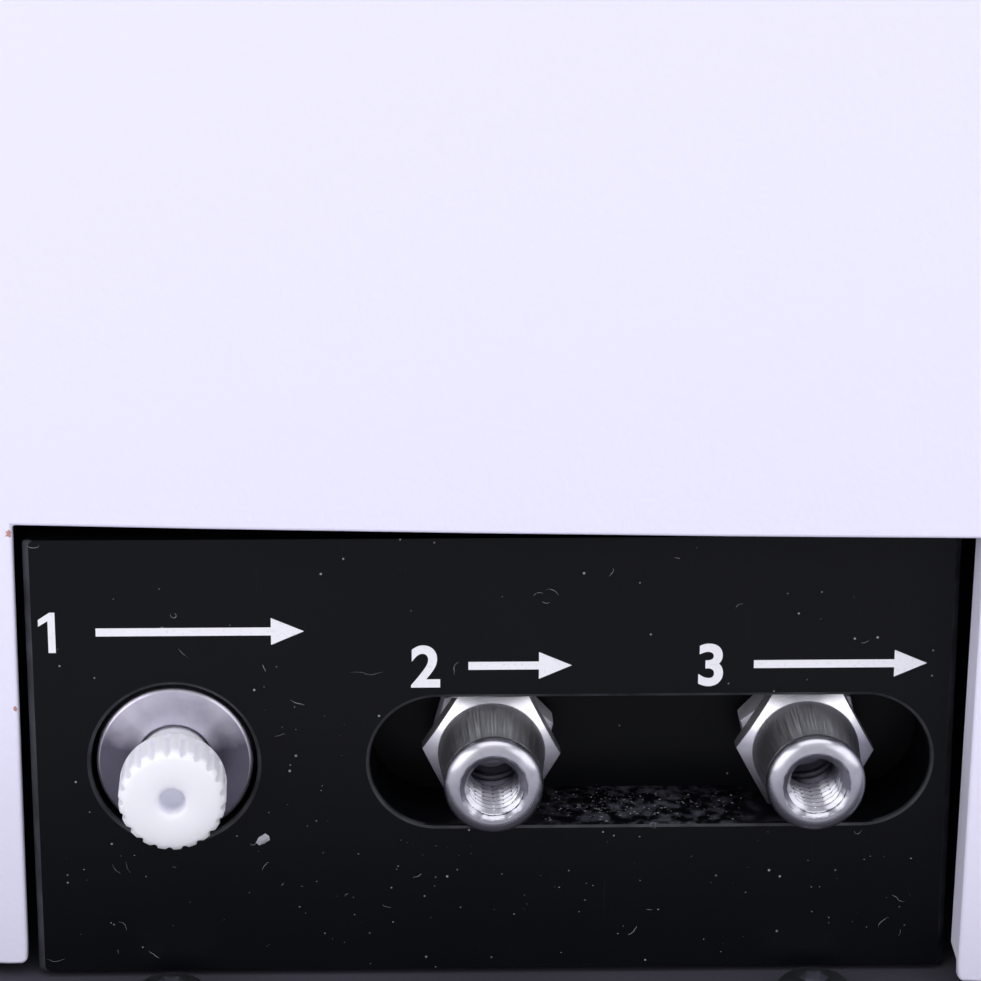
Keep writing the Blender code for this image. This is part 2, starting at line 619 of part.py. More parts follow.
def cover():
    shell = piece("cover", case_shell(0, COVER_BOTTOM, CASE_BACK), WHITE_PAINT)
    cut(shell, helper(shell, case_shell(SHEET, COVER_BOTTOM - OVERRUN, CASE_BACK + OVERRUN)))
    reach = bow(CASE_WIDTH / 2)
    cut(shell, helper(shell, prism_mesh(notch_outline(), -OVERRUN, reach + OVERRUN), parent=PORT_FRAME))
    face = CASE_FRONT + bow(PORT_X + NOTCH_RIGHT)
    flange = block_mesh((PORT_X + NOTCH_RIGHT, face + SHEET / 2, COVER_BOTTOM + NOTCH_FILLET),
                        (PORT_X + NOTCH_RIGHT + SHEET, face + FLANGE_DEPTH, PORT_Z + NOTCH_TOP))
    join(shell, helper(shell, flange))
    doorway = rounded_rectangle(DOOR_RIGHT - DOOR_LEFT, DOOR_TOP - DOOR_BOTTOM, DOORWAY_CORNER)
    middle = ((DOOR_LEFT + DOOR_RIGHT) / 2, 0, (DOOR_BOTTOM + DOOR_TOP) / 2)
    cut(shell, helper(shell, prism_mesh(doorway, OVERRUN, -CASE_FRONT + OVERRUN), middle, OUTWARD))
    for x, z, width, height, corner in ((PANEL_X, PANEL_Z, PANEL_WIDTH, PANEL_HEIGHT, PANEL_CORNER),
                                        (SWITCH_X, SWITCH_Z, SWITCH_WIDTH, SWITCH_HEIGHT, SWITCH_CORNER)):
        hole = rounded_rectangle(width + 2 * TOUCH, height + 2 * TOUCH, corner)
        place = (x, CASE_FRONT + bow(x), z)
        cut(shell, helper(shell, prism_mesh(hole, -OVERRUN, OVERRUN), place, (OUTWARD[0], 0, bow_turn(x))))
    for k in range(VENT_COUNT):
        slot = slot_outline(VENT_LENGTH, VENT_WIDTH, 3)
        lift = VENT_Z + k * VENT_PITCH
        cut(shell, helper(shell, prism_mesh(slot, -CASE_WIDTH, CASE_WIDTH), (0, VENT_Y, lift),
                          (math.radians(90), 0, math.radians(90))))
    return shell


# The chassis: a folded steel table over the base, which the sample chamber stands on and the cover fits round

CHASSIS_SHEET = 2 * MM
CHASSIS_INSET = 36 * MM
CHASSIS_FRONT = CASE_FRONT + CHASSIS_INSET
CHASSIS_BACK = CASE_BACK - CHASSIS_INSET


def chassis():
    half = CASE_WIDTH / 2 - SHEET - TOUCH
    inner = half - CHASSIS_SHEET
    bottom = LEDGE_TOP + TOUCH
    outline = [(-half, bottom), (-inner, bottom), (-inner, DECK_TOP - CHASSIS_SHEET), (inner, DECK_TOP - CHASSIS_SHEET),
               (inner, bottom), (half, bottom), (half, DECK_TOP), (-half, DECK_TOP)]
    table = piece("chassis", prism_mesh(outline, -CHASSIS_BACK, -CHASSIS_FRONT), ZINC, turn=OUTWARD)
    drill(table, SHAFT_RADIUS + 2 * RUNNING, DECK_TOP - CHASSIS_SHEET - OVERRUN, DECK_TOP + OVERRUN,
          (CAROUSEL_X, CAROUSEL_Y, 0))
    return table


# The sample chamber: a moulded box behind the doorway, open in front, its front edge following the bow

MACHINE_BAY = 136 * MM
CHAMBER_BACK = CASE_BACK - MACHINE_BAY
CHAMBER_LOW_X = DOOR_LEFT - CHAMBER_MARGIN
CHAMBER_HIGH_X = DOOR_RIGHT + CHAMBER_MARGIN

# The vial carousel inside it, and the shaft that turns it
NEEDLE_ZONE = 60 * MM
CAROUSEL_GAP = 8 * MM
DOOR_ROOM = 30 * MM
CAROUSEL_RADIUS = (CHAMBER_HIGH_X - CHAMBER_LOW_X - NEEDLE_ZONE) / 2
CAROUSEL_X = CHAMBER_LOW_X + CAROUSEL_GAP + CAROUSEL_RADIUS
CAROUSEL_Y = CASE_FRONT + DOOR_ROOM + CAROUSEL_RADIUS
CAROUSEL_LIFT = 4 * MM
CAROUSEL_HEIGHT = 15 * MM
SHAFT_RADIUS = 5 * MM
HUB_RADIUS = 17 * MM
KNOB_RADIUS = 10 * MM
KNOB_WAIST_SHARE = 0.8
CAROUSEL_EDGE = 1 * MM
KNOB_HEIGHT = 30 * MM
RIM_MARGIN = 12 * MM
RING_SPACING = 24 * MM
OUTER_RING = CAROUSEL_RADIUS - RIM_MARGIN
INNER_RING = OUTER_RING - RING_SPACING
OUTER_COUNT = 16
INNER_COUNT = 8
VIAL_RADIUS = 5.8 * MM
VIAL_DEPTH = 12 * MM
VIAL_HEIGHT = 27 * MM
VIAL_SHOULDER = 3 * MM
VIAL_NECK = 4.6 * MM
VIAL_WALL = 1 * MM
CAP_RADIUS = 5.5 * MM
CAP_HEIGHT = 6 * MM
CAP_SLIT = 1.7 * MM

# Needle drive: where the needle stands across the chamber at rest, and the rods and screw it travels on
NEEDLE_INSET = 18 * MM
NEEDLE_X = CHAMBER_HIGH_X - NEEDLE_INSET
NEEDLE_Y = CAROUSEL_Y
CROSS_ROD_BACK = 30 * MM
CROSS_ROD_Y = NEEDLE_Y + CROSS_ROD_BACK
CROSS_ROD_INSET = 16 * MM
CROSS_ROD_LOW = CARRIAGE_LOW + CROSS_ROD_INSET
CROSS_ROD_HIGH = CARRIAGE_HIGH - CROSS_ROD_INSET
CROSS_SCREW_Z = (CROSS_ROD_LOW + CROSS_ROD_HIGH) / 2
CROSS_ROD = 4 * MM
CROSS_SCREW = 3 * MM
MOTOR_SIDE = 42 * MM
MOTOR_LENGTH = 34 * MM
MOTOR_CORNER = 5 * MM

# The injection valve and its place on the chamber's back wall
VALVE_INSET = 61 * MM
VALVE_X = CHAMBER_LOW_X + VALVE_INSET
VALVE_RISE = 97.2 * MM
VALVE_Z = CHAMBER_FLOOR + VALVE_RISE
VALVE_SHAFT = 4 * MM


def sample_chamber():
    low_x, high_x = CHAMBER_LOW_X - CHAMBER_WALL, CHAMBER_HIGH_X + CHAMBER_WALL
    back = CHAMBER_BACK + CHAMBER_WALL
    bottom, top = CHAMBER_FLOOR - CHAMBER_WALL, CHAMBER_CEILING + CHAMBER_WALL
    box = piece("sample_chamber", prism_mesh(bowed_outline(low_x, high_x, SHEET + TOUCH, back), bottom, top),
                GREY_PLASTIC)
    room = prism_mesh(bowed_outline(CHAMBER_LOW_X, CHAMBER_HIGH_X, -OVERRUN, CHAMBER_BACK), CHAMBER_FLOOR,
                      CHAMBER_CEILING)
    cut(box, helper(box, room))
    drill(box, SHAFT_RADIUS + 2 * RUNNING, bottom - OVERRUN, CHAMBER_FLOOR + OVERRUN, (CAROUSEL_X, CAROUSEL_Y, 0))
    drill(box, VALVE_SHAFT + RUNNING, -OVERRUN, OVERRUN, (VALVE_X, back, VALVE_Z), OUTWARD)
    drill(box, CROSS_SCREW + RUNNING, -OVERRUN, OVERRUN, (high_x, CROSS_ROD_Y, CROSS_SCREW_Z), ALONG_X)
    x, y = door_axis()
    drill(box, PIN_RADIUS + TOUCH / 2, bottom - OVERRUN, top + OVERRUN, (x, y, 0), sides=12)
    return box


# The door: a white moulded frame round a smoked acrylic window, on two pins near its left edge

DOOR_PIN_INSET = 4 * MM
DOOR_PIN_BACK = 4 * MM
PIN_RADIUS = 1.2 * MM
PIN_LENGTH = 14 * MM
FRAME_BORDER = 14 * MM
WINDOW_CORNER = 3 * MM
WINDOW_SETBACK = 1 * MM
WINDOW_THICKNESS = 3 * MM
WINDOW_REBATE = 3 * MM
PULL_WIDTH = 6 * MM
PULL_HEIGHT = 70 * MM
PULL_PROUD = 20 * MM
PULL_RAKE = 9 * MM


def door_axis():
    x = DOOR_LEFT + DOOR_GAP + DOOR_PIN_INSET
    return x, CASE_FRONT + bow(x) + DOOR_PIN_BACK


def attach(made, parent):
    """Hangs a piece that was placed in the world on a pivot, without moving it."""
    made.parent = parent
    made.matrix_parent_inverse = Matrix.Translation(parent.location).inverted()


def door():
    axis_x, axis_y = door_axis()
    hinge = pivot("door_axis", (axis_x, axis_y, (DOOR_BOTTOM + DOOR_TOP) / 2))
    low_x, high_x = DOOR_LEFT + DOOR_GAP, DOOR_RIGHT - DOOR_GAP
    low_z, high_z = DOOR_BOTTOM + DOOR_GAP, DOOR_TOP - DOOR_GAP
    frame = bowed_panel("door_frame", WHITE_PAINT, low_x, high_x, low_z, high_z, 0, DOOR_THICKNESS, DOOR_CORNER)
    middle = ((low_x + high_x) / 2, 0, (low_z + high_z) / 2)
    wide, tall = high_x - low_x - 2 * FRAME_BORDER, high_z - low_z - 2 * FRAME_BORDER
    sight = rounded_rectangle(wide, tall, WINDOW_CORNER)
    cut(frame, helper(frame, prism_mesh(sight, OVERRUN, -CASE_FRONT + OVERRUN), middle, OUTWARD))
    rebate = bowed_panel("rebate", WHITE_PAINT, low_x + FRAME_BORDER - WINDOW_REBATE,
                         high_x - FRAME_BORDER + WINDOW_REBATE, low_z + FRAME_BORDER - WINDOW_REBATE,
                         high_z - FRAME_BORDER + WINDOW_REBATE, WINDOW_SETBACK, DOOR_THICKNESS, WINDOW_CORNER)
    cut(frame, rebate)
    edge = FRAME_BORDER - WINDOW_REBATE + TOUCH
    window = bowed_panel("door_window", SMOKED, low_x + edge, high_x - edge, low_z + edge, high_z - edge,
                         WINDOW_SETBACK + TOUCH, WINDOW_THICKNESS, WINDOW_CORNER)
    for z in (low_z, high_z):
        drill(frame, PIN_RADIUS + TOUCH, -PIN_LENGTH, PIN_LENGTH, (axis_x, axis_y, z), sides=12)
    pull_x = high_x - FRAME_BORDER / 2
    pull_place = (pull_x, CASE_FRONT + bow(pull_x), (low_z + high_z) / 2)
    foot = PULL_PROUD - TOUCH - bow(PULL_WIDTH)
    end, shoulder, inner = PULL_HEIGHT / 2, PULL_HEIGHT / 2 - PULL_RAKE, PULL_HEIGHT / 2 - PULL_RAKE - PULL_WIDTH
    side = [(-end, 0), (-shoulder, foot), (shoulder, foot), (end, 0), (shoulder, 0), (inner, foot - PULL_WIDTH),
            (-inner, foot - PULL_WIDTH), (-shoulder, 0)]
    ends = [[(x, up, out + TOUCH) for up, out in side] for x in (-PULL_WIDTH / 2, PULL_WIDTH / 2)]
    pull = piece("door_pull", mesh_of(ringed(bmesh.new(), ends), "pull"), BLACK_PLASTIC, pull_place,
                 (OUTWARD[0], 0, bow_turn(pull_x)))
    for made in (frame, window, pull):
        attach(made, hinge)
    for name, start, end in (("hinge_pin_lower", CHAMBER_FLOOR - CHAMBER_WALL, low_z + PIN_LENGTH / 2),
                             ("hinge_pin_upper", high_z - PIN_LENGTH / 2, CHAMBER_CEILING + CHAMBER_WALL)):
        piece(name, rod_mesh(PIN_RADIUS, start, end, 12), STEEL, (axis_x, axis_y, 0))


# Carousel and vials: a moulded disc with two rings of capped vials in it, on a shaft through the chamber's floor.
# The vials are of one piece with the disc here, each open under its slit cap for the needle.

def ring_places():
    """The middle of each socket about the carousel's axis; one of each ring faces the needle's line."""
    places = []
    for radius, count in ((OUTER_RING, OUTER_COUNT), (INNER_RING, INNER_COUNT)):
        angles = [2 * math.pi * k / count for k in range(count)]
        places += [(radius * math.cos(a), radius * math.sin(a)) for a in angles]
    return places


def group_mesh(name, profile, sides, places):
    """The same small turned solid at each place, for one boolean."""
    shape = bmesh.new()
    for x, y in places:
        ringed(shape, [[(x + u, y + v, z) for u, v, z in circle(radius, height, sides)] for radius, height in profile])
    return mesh_of(shape, name)


def carousel():
    axis = pivot("carousel_axis", (CAROUSEL_X, CAROUSEL_Y, CHAMBER_FLOOR + CAROUSEL_LIFT))
    knob = CAROUSEL_HEIGHT + KNOB_HEIGHT
    waist = KNOB_RADIUS * KNOB_WAIST_SHARE
    rim = [(CAROUSEL_RADIUS, 0), (CAROUSEL_RADIUS, CAROUSEL_HEIGHT - CAROUSEL_EDGE),
           (CAROUSEL_RADIUS - CAROUSEL_EDGE, CAROUSEL_HEIGHT)]
    disc = piece("carousel", turned_mesh(rim, 40), GREY_PLASTIC, parent=axis)
    grip = [(HUB_RADIUS, CAROUSEL_HEIGHT / 2), (KNOB_RADIUS, CAROUSEL_HEIGHT + KNOB_RADIUS), (waist, knob - KNOB_RADIUS),
            (KNOB_RADIUS, knob - KNOB_RADIUS / 2), (waist, knob)]
    join(disc, helper(disc, turned_mesh(grip, SOME_SIDES), parent=axis))
    stand = CAROUSEL_HEIGHT - VIAL_DEPTH
    deck_underside = DECK_TOP - CHASSIS_SHEET
    shaft_start = deck_underside - (CHAMBER_FLOOR + CAROUSEL_LIFT)
    piece("carousel_shaft", rod_mesh(SHAFT_RADIUS, shaft_start, -TOUCH), STEEL, parent=axis)
    high = stand + VIAL_HEIGHT
    vial = [(VIAL_RADIUS, stand), (VIAL_RADIUS, high - VIAL_SHOULDER), (VIAL_NECK, high), (CAP_RADIUS, high),
            (CAP_RADIUS, high + CAP_HEIGHT)]
    join(disc, helper(disc, group_mesh("capped_vials", vial, FEW_SIDES, ring_places()), parent=axis))
    room = [(CAP_SLIT, stand + VIAL_WALL), (CAP_SLIT, high + CAP_HEIGHT + OVERRUN)]
    cut(disc, helper(disc, group_mesh("needle_ways", room, 6, ring_places()), parent=axis))


# Needle drive: a C-shaped carriage on two cross rods and a screw, which carries a lift carriage with the needle

CARRIAGE_HALF = 16 * MM
CARRIAGE_PLATE = 20 * MM
CARRIAGE_REACH = 44 * MM
CARRIAGE_ARM = 7 * MM
LIFT_ROD = 2.5 * MM
LIFT_ROD_SPREAD = 10 * MM
LIFT_SCREW = 2.5 * MM
LIFT_SCREW_BACK = 11 * MM
LIFT_HALF = 14 * MM
LIFT_HEIGHT = 18 * MM
LIFT_GAP = 2 * MM
LIFT_FRONT = 8 * MM
LIFT_BACK = 16 * MM
LIFT_MOTOR_SIDE = 28 * MM
NEEDLE_RADIUS = 0.8 * MM
NEEDLE_HUB = 3 * MM
NEEDLE_HUB_HEIGHT = 6 * MM
NEEDLE_POINT = 2 * MM
SEAT_HEIGHT = 36 * MM
NEEDLE_CLEARANCE = 7 * MM
NEEDLE_TIP = CHAMBER_FLOOR + SEAT_HEIGHT + NEEDLE_CLEARANCE


def needle_drive():
    left, right = CHAMBER_LOW_X + TOUCH, CHAMBER_HIGH_X - TOUCH
    for name, z in (("cross_rod_lower", CROSS_ROD_LOW), ("cross_rod_upper", CROSS_ROD_HIGH)):
        piece(name, rod_mesh(CROSS_ROD, left, right), STEEL, (0, CROSS_ROD_Y, z), ALONG_X)
    screw_axis = pivot("cross_screw_axis", (0, CROSS_ROD_Y, CROSS_SCREW_Z), ALONG_X)
    piece("cross_screw", rod_mesh(CROSS_SCREW, left, CHAMBER_HIGH_X + CHAMBER_WALL), STEEL, parent=screw_axis)
    slide = pivot("cross_axis", (NEEDLE_X, CROSS_ROD_Y, CROSS_SCREW_Z))
    front = NEEDLE_Y - (CARRIAGE_REACH - CARRIAGE_PLATE / 2 - (CROSS_ROD_Y - NEEDLE_Y))
    back = CROSS_ROD_Y + CARRIAGE_PLATE / 2
    carriage = piece("cross_carriage", block_mesh((NEEDLE_X - CARRIAGE_HALF, front, CARRIAGE_LOW),
                                                  (NEEDLE_X + CARRIAGE_HALF, back, CARRIAGE_HIGH)), BLACK_ANODISED)
    hollow(carriage, (NEEDLE_X - CARRIAGE_HALF - OVERRUN, front - OVERRUN, CARRIAGE_LOW + CARRIAGE_ARM),
           (NEEDLE_X + CARRIAGE_HALF + OVERRUN, CROSS_ROD_Y - CARRIAGE_PLATE / 2, CARRIAGE_HIGH - CARRIAGE_ARM))
    for z, radius in ((CROSS_ROD_LOW, CROSS_ROD), (CROSS_ROD_HIGH, CROSS_ROD), (CROSS_SCREW_Z, CROSS_SCREW)):
        drill(carriage, radius + RUNNING, -CARRIAGE_HALF - OVERRUN, CARRIAGE_HALF + OVERRUN,
              (NEEDLE_X, CROSS_ROD_Y, z), ALONG_X)
    drill(carriage, NEEDLE_RADIUS + 2 * RUNNING, CARRIAGE_LOW - OVERRUN, CARRIAGE_LOW + 2 * OVERRUN,
          (NEEDLE_X, NEEDLE_Y, 0), sides=12)
    attach(carriage, slide)
    rod_low, rod_high = CARRIAGE_LOW + CARRIAGE_ARM + TOUCH, CARRIAGE_HIGH - CARRIAGE_ARM - TOUCH
    rod_x = NEEDLE_X - LIFT_ROD_SPREAD
    attach(piece("lift_rod", rod_mesh(LIFT_ROD, rod_low, rod_high, 12), STEEL, (rod_x, NEEDLE_Y, 0)), slide)
    screw_y = NEEDLE_Y + LIFT_SCREW_BACK
    screw = pivot("lift_screw_axis", (NEEDLE_X, screw_y, rod_low))
    piece("lift_screw", rod_mesh(LIFT_SCREW, 0, rod_high - rod_low, 12), STEEL, parent=screw)
    motor_low = CARRIAGE_HIGH + TOUCH
    half = LIFT_MOTOR_SIDE / 2
    motor = piece("lift_motor", prism_mesh(rounded_rectangle(LIFT_MOTOR_SIDE, LIFT_MOTOR_SIDE, MOTOR_CORNER), 0,
                                           LIFT_MOTOR_LENGTH), BLACK_PLASTIC, (NEEDLE_X, back - half, motor_low))
    attach(motor, slide)
    lift_axis = pivot("lift_axis", (NEEDLE_X, NEEDLE_Y, rod_high))
    top = rod_high + TOUCH - LIFT_GAP
    bottom = top - LIFT_HEIGHT
    lift = piece("lift_carriage", block_mesh((NEEDLE_X - LIFT_HALF, NEEDLE_Y - LIFT_FRONT, bottom),
                                             (NEEDLE_X + LIFT_HALF, NEEDLE_Y + LIFT_BACK, top)), WHITE_POLYMER)
    drill(lift, LIFT_ROD + RUNNING, bottom - OVERRUN, top + OVERRUN, (rod_x, NEEDLE_Y, 0), sides=12)
    drill(lift, LIFT_SCREW + RUNNING, bottom - OVERRUN, top + OVERRUN, (NEEDLE_X, screw_y, 0), sides=12)
    hub = bottom - TOUCH
    profile = [(0, NEEDLE_TIP), (NEEDLE_RADIUS, NEEDLE_TIP + NEEDLE_POINT), (NEEDLE_RADIUS, hub - NEEDLE_HUB_HEIGHT),
               (NEEDLE_HUB, hub - NEEDLE_HUB_HEIGHT), (NEEDLE_HUB, hub)]
    needle = piece("needle", turned_mesh(profile, 12), STEEL, (NEEDLE_X, NEEDLE_Y, 0))
    attach(lift, lift_axis)
    attach(needle, lift_axis)


# The needle's seat and the wash port: two bored posts on one foot, on the chamber's floor beside the carousel

SEAT_RADIUS = 7 * MM
SEAT_BORE = 1.6 * MM
SEAT_MOUTH = 3.5 * MM
SEAT_FLOOR = 5 * MM
SEAT_NECK = 5 * MM
WASH_GAP = 2.5 * MM
WASH_BORE = 3.5 * MM
FOOT_PLATE = 4 * MM


def needle_seats():
    base = CHAMBER_FLOOR + TOUCH
    spacing = 2 * SEAT_RADIUS + WASH_GAP
    plate = rounded_rectangle(spacing + 2 * SEAT_RADIUS, 2 * SEAT_RADIUS, SEAT_RADIUS / 2)
    station = piece("needle_station", prism_mesh(plate, 0, FOOT_PLATE), STEEL,
                    (NEEDLE_X - spacing / 2, NEEDLE_Y, base))
    for x, bore, mouth in ((NEEDLE_X, SEAT_BORE, SEAT_MOUTH), (NEEDLE_X - spacing, WASH_BORE, WASH_BORE + TOUCH)):
        post = [(SEAT_NECK, FOOT_PLATE / 2), (SEAT_NECK, SEAT_HEIGHT)]
        join(station, helper(station, turned_mesh(post, SOME_SIDES), (x, NEEDLE_Y, base)))
        way = [(bore, SEAT_FLOOR), (bore, SEAT_HEIGHT - SEAT_MOUTH), (mouth, SEAT_HEIGHT), (mouth, 2 * SEAT_HEIGHT)]
        cut(station, helper(station, turned_mesh(way, SOME_SIDES), (x, NEEDLE_Y, base)))


# Three stepper motors: under the carousel, beside the cross screw and behind the valve

def stepper_motors():
    """Each is placed by the middle of its front face and runs back from there along its own axis."""
    shape = prism_mesh(rounded_rectangle(MOTOR_SIDE, MOTOR_SIDE, MOTOR_CORNER, 2), -MOTOR_LENGTH, 0)
    deck = DECK_TOP - CHASSIS_SHEET - TOUCH
    side = CHAMBER_HIGH_X + CHAMBER_WALL + TOUCH
    rear = CHAMBER_BACK + CHAMBER_WALL + TOUCH
    piece("carousel_motor", shape, BLACK_PLASTIC, (CAROUSEL_X, CAROUSEL_Y, deck))
    piece("cross_motor", shape, BLACK_PLASTIC, (side, CROSS_ROD_Y, CROSS_SCREW_Z), (0, -ALONG_X[1], 0))
    piece("valve_motor", shape, BLACK_PLASTIC, (VALVE_X, rear, VALVE_Z), OUTWARD)


# The injection valve: a steel body and a stator with six fittings, with a rotor that turns between them, and a
# sample loop of capillary tube wound in front of it

VALVE_RADIUS = 20 * MM
VALVE_BODY = 22 * MM
ROTOR_RADIUS = 12 * MM
ROTOR_THICKNESS = 4 * MM
STATOR_RADIUS = 16 * MM
STATOR_THICKNESS = 11 * MM
FITTING_RING = 10 * MM
FITTING_FLATS = 6.4 * MM
FITTING_LENGTH = 8 * MM
LOOP_RADIUS = 21 * MM
LOOP_TURNS = 3
LOOP_PITCH = 3.2 * MM
LOOP_START = 4 * MM
LOOP_LEAD = 6 * MM
LOOP_STEPS = 24


def bezier(a, b, c, d, steps):
    """Points along a cubic curve, without its first."""
    made = []
    for k in range(1, steps + 1):
        t = k / steps
        s = 1 - t
        made.append(a * s ** 3 + b * 3 * s ** 2 * t + c * 3 * s * t ** 2 + d * t ** 3)
    return made


def loop_path(fitting_end):
    """From one fitting out to the coil, round it, and back down through it to the next fitting but two."""
    start = Vector((FITTING_RING, 0, fitting_end + TOUCH))
    end = Vector((-FITTING_RING, 0, fitting_end + TOUCH))
    out = Vector((0, 0, LOOP_LEAD))
    coil_low = fitting_end + LOOP_LEAD + LOOP_START
    steps = LOOP_STEPS * LOOP_TURNS + LOOP_STEPS // 4
    coil = []
    for k in range(steps + 1):
        a = 2 * math.pi * k / LOOP_STEPS
        rise = coil_low + LOOP_PITCH * k / LOOP_STEPS
        coil.append(Vector((LOOP_RADIUS * math.cos(a), LOOP_RADIUS * math.sin(a), rise)))
    first = (coil[1] - coil[0]).normalized() * LOOP_RADIUS / 2
    last = (coil[-1] - coil[-2]).normalized() * LOOP_RADIUS / 2
    lead_in = [start, start + out / 3] + bezier(start + out / 3, start + out, coil[0] - first, coil[0], 8)
    lead_out = bezier(coil[-1], coil[-1] + last, end + out * 2, end + out / 3, 10) + [end]
    return lead_in + coil[1:] + lead_out


def least_gap(points, diameter):
    """The smallest clear distance between two stretches of a tube that are not next to each other."""
    apart = 6
    gaps = [(p - q).length for i, p in enumerate(points) for q in points[i + apart:]]
    return min(gaps) - diameter


def valve():
    back = CHAMBER_BACK - TOUCH
    frame = pivot("valve_axis", (VALVE_X, back, VALVE_Z), OUTWARD)
    cavity = ROTOR_RADIUS + RUNNING
    seat = VALVE_BODY - ROTOR_THICKNESS - RUNNING
    body = [(VALVE_SHAFT + RUNNING, 0), (VALVE_RADIUS, 0), (VALVE_RADIUS, VALVE_BODY), (cavity, VALVE_BODY),
            (cavity, seat), (VALVE_SHAFT + RUNNING, seat)]
    piece("valve_body", turned_mesh(body, 24, closed=True), STEEL, parent=frame)
    rotor = [(VALVE_SHAFT, -CHAMBER_WALL - TOUCH), (VALVE_SHAFT, seat + RUNNING / 2),
             (ROTOR_RADIUS, seat + RUNNING / 2), (ROTOR_RADIUS, VALVE_BODY - RUNNING / 2)]
    piece("valve_rotor", turned_mesh(rotor, 24), WHITE_POLYMER, parent=frame)
    stator = VALVE_BODY + TOUCH
    stator_face = stator + STATOR_THICKNESS
    head = piece("valve_stator", rod_mesh(STATOR_RADIUS, stator, stator_face, 24), STEEL, parent=frame)
    fitting = prism_mesh(polygon(FITTING_FLATS), stator_face - TOUCH, stator_face + FITTING_LENGTH)
    for k in range(6):
        a = math.pi / 3 * k
        join(head, helper(head, fitting, (FITTING_RING * math.cos(a), FITTING_RING * math.sin(a), 0), (0, 0, a), frame))
    points = loop_path(stator_face + FITTING_LENGTH)
    print("sample loop: least gap to itself %.2f mm" % (least_gap(points, 2 * TUBE_RADIUS) / MM))
    curve = bpy.data.curves.new("sample_loop", "CURVE")
    curve.dimensions = "3D"
    curve.bevel_depth = TUBE_RADIUS
    curve.bevel_resolution = 1
    curve.use_fill_caps = True
    spline = curve.splines.new("POLY")
    spline.points.add(len(points) - 1)
    for slot, point in zip(spline.points, points):
        slot.co = (*point, 1)
    loop = bpy.data.objects.new("sample_loop", curve)
    bpy.context.scene.collection.objects.link(loop)
    curve.materials.append(STEEL)
    loop.parent = frame


# The syringe: a glass barrel under the head of its drive, with a plunger on a yoke that draws down

SYRINGE_SPACING = 75 * MM
SYRINGE_FORWARD = 22 * MM
SYRINGE_X = VALVE_X + SYRINGE_SPACING
SYRINGE_Y = CHAMBER_BACK - SYRINGE_FORWARD
SYRINGE_HALF = 16 * MM
DRIVE_BACKING = 9 * MM
DRIVE_LIFT = 2.2 * MM
DRIVE_LOW = CHAMBER_FLOOR + DRIVE_LIFT
DRIVE_HEIGHT = 115 * MM
DRIVE_HIGH = DRIVE_LOW + DRIVE_HEIGHT
HEAD_HEIGHT = 16 * MM
HEAD_REACH = 12 * MM
BARREL_RADIUS = 7 * MM
BARREL_BORE = 5.4 * MM
BARREL_LENGTH = 46 * MM
PLUNGER_HEAD = 6 * MM
PLUNGER_ROD = 2.4 * MM
YOKE_HALF = 9 * MM
YOKE_HEIGHT = 10 * MM
YOKE_DROP = 4 * MM


def syringe():
    wall = CHAMBER_BACK - TOUCH
    face = wall - DRIVE_BACKING
    drive = piece("syringe_drive", block_mesh((SYRINGE_X - SYRINGE_HALF, face, DRIVE_LOW),
                                              (SYRINGE_X + SYRINGE_HALF, wall, DRIVE_HIGH)), WHITE_POLYMER)
    join(drive, helper(drive, block_mesh((SYRINGE_X - SYRINGE_HALF, SYRINGE_Y - HEAD_REACH, DRIVE_HIGH - HEAD_HEIGHT),
                                         (SYRINGE_X + SYRINGE_HALF, wall - TOUCH, DRIVE_HIGH),
                                         (("left", "front"), ("right", "front")), HEAD_REACH / 2)))
    top = DRIVE_HIGH - HEAD_HEIGHT - TOUCH
    low = top - BARREL_LENGTH
    barrel = [(BARREL_BORE, low), (BARREL_RADIUS, low), (BARREL_RADIUS, top), (BARREL_BORE, top)]
    piece("syringe_barrel", turned_mesh(barrel, SOME_SIDES, closed=True), GLASS, (SYRINGE_X, SYRINGE_Y, 0))
    slide = pivot("plunger_axis", (SYRINGE_X, SYRINGE_Y, top))
    head_top = -RUNNING - TOUCH
    yoke_top = -BARREL_LENGTH - YOKE_DROP
    profile = [(PLUNGER_ROD, yoke_top - YOKE_HEIGHT / 2), (PLUNGER_ROD, head_top - PLUNGER_HEAD),
               (BARREL_BORE - TOUCH, head_top - PLUNGER_HEAD), (BARREL_BORE - TOUCH, head_top)]
    plunger = piece("syringe_plunger", turned_mesh(profile, SOME_SIDES), STEEL, parent=slide)
    yoke = block_mesh((-YOKE_HALF, -YOKE_HALF, yoke_top - YOKE_HEIGHT), (YOKE_HALF, face - SYRINGE_Y - TOUCH, yoke_top))
    join(plunger, helper(plunger, yoke, parent=slide))


# Control panel: a black bezel with a display window and four sprung keys

DISPLAY_WIDTH = 48 * MM
DISPLAY_HEIGHT = 28 * MM
DISPLAY_INSET = 23 * MM
DISPLAY_RISE = PANEL_HEIGHT / 2 - DISPLAY_INSET
DISPLAY_DEPTH = 1.2 * MM
DISPLAY_CORNER = 1 * MM
KEY_WIDTH = 19 * MM
KEY_HEIGHT = 12 * MM
KEY_CORNER = 2 * MM
KEY_SPREAD = 12.5 * MM
KEY_TOP = 0 * MM
KEY_PITCH = 20 * MM
KEY_PROUD = 1.6 * MM
KEY_TRAVEL = 1.2 * MM


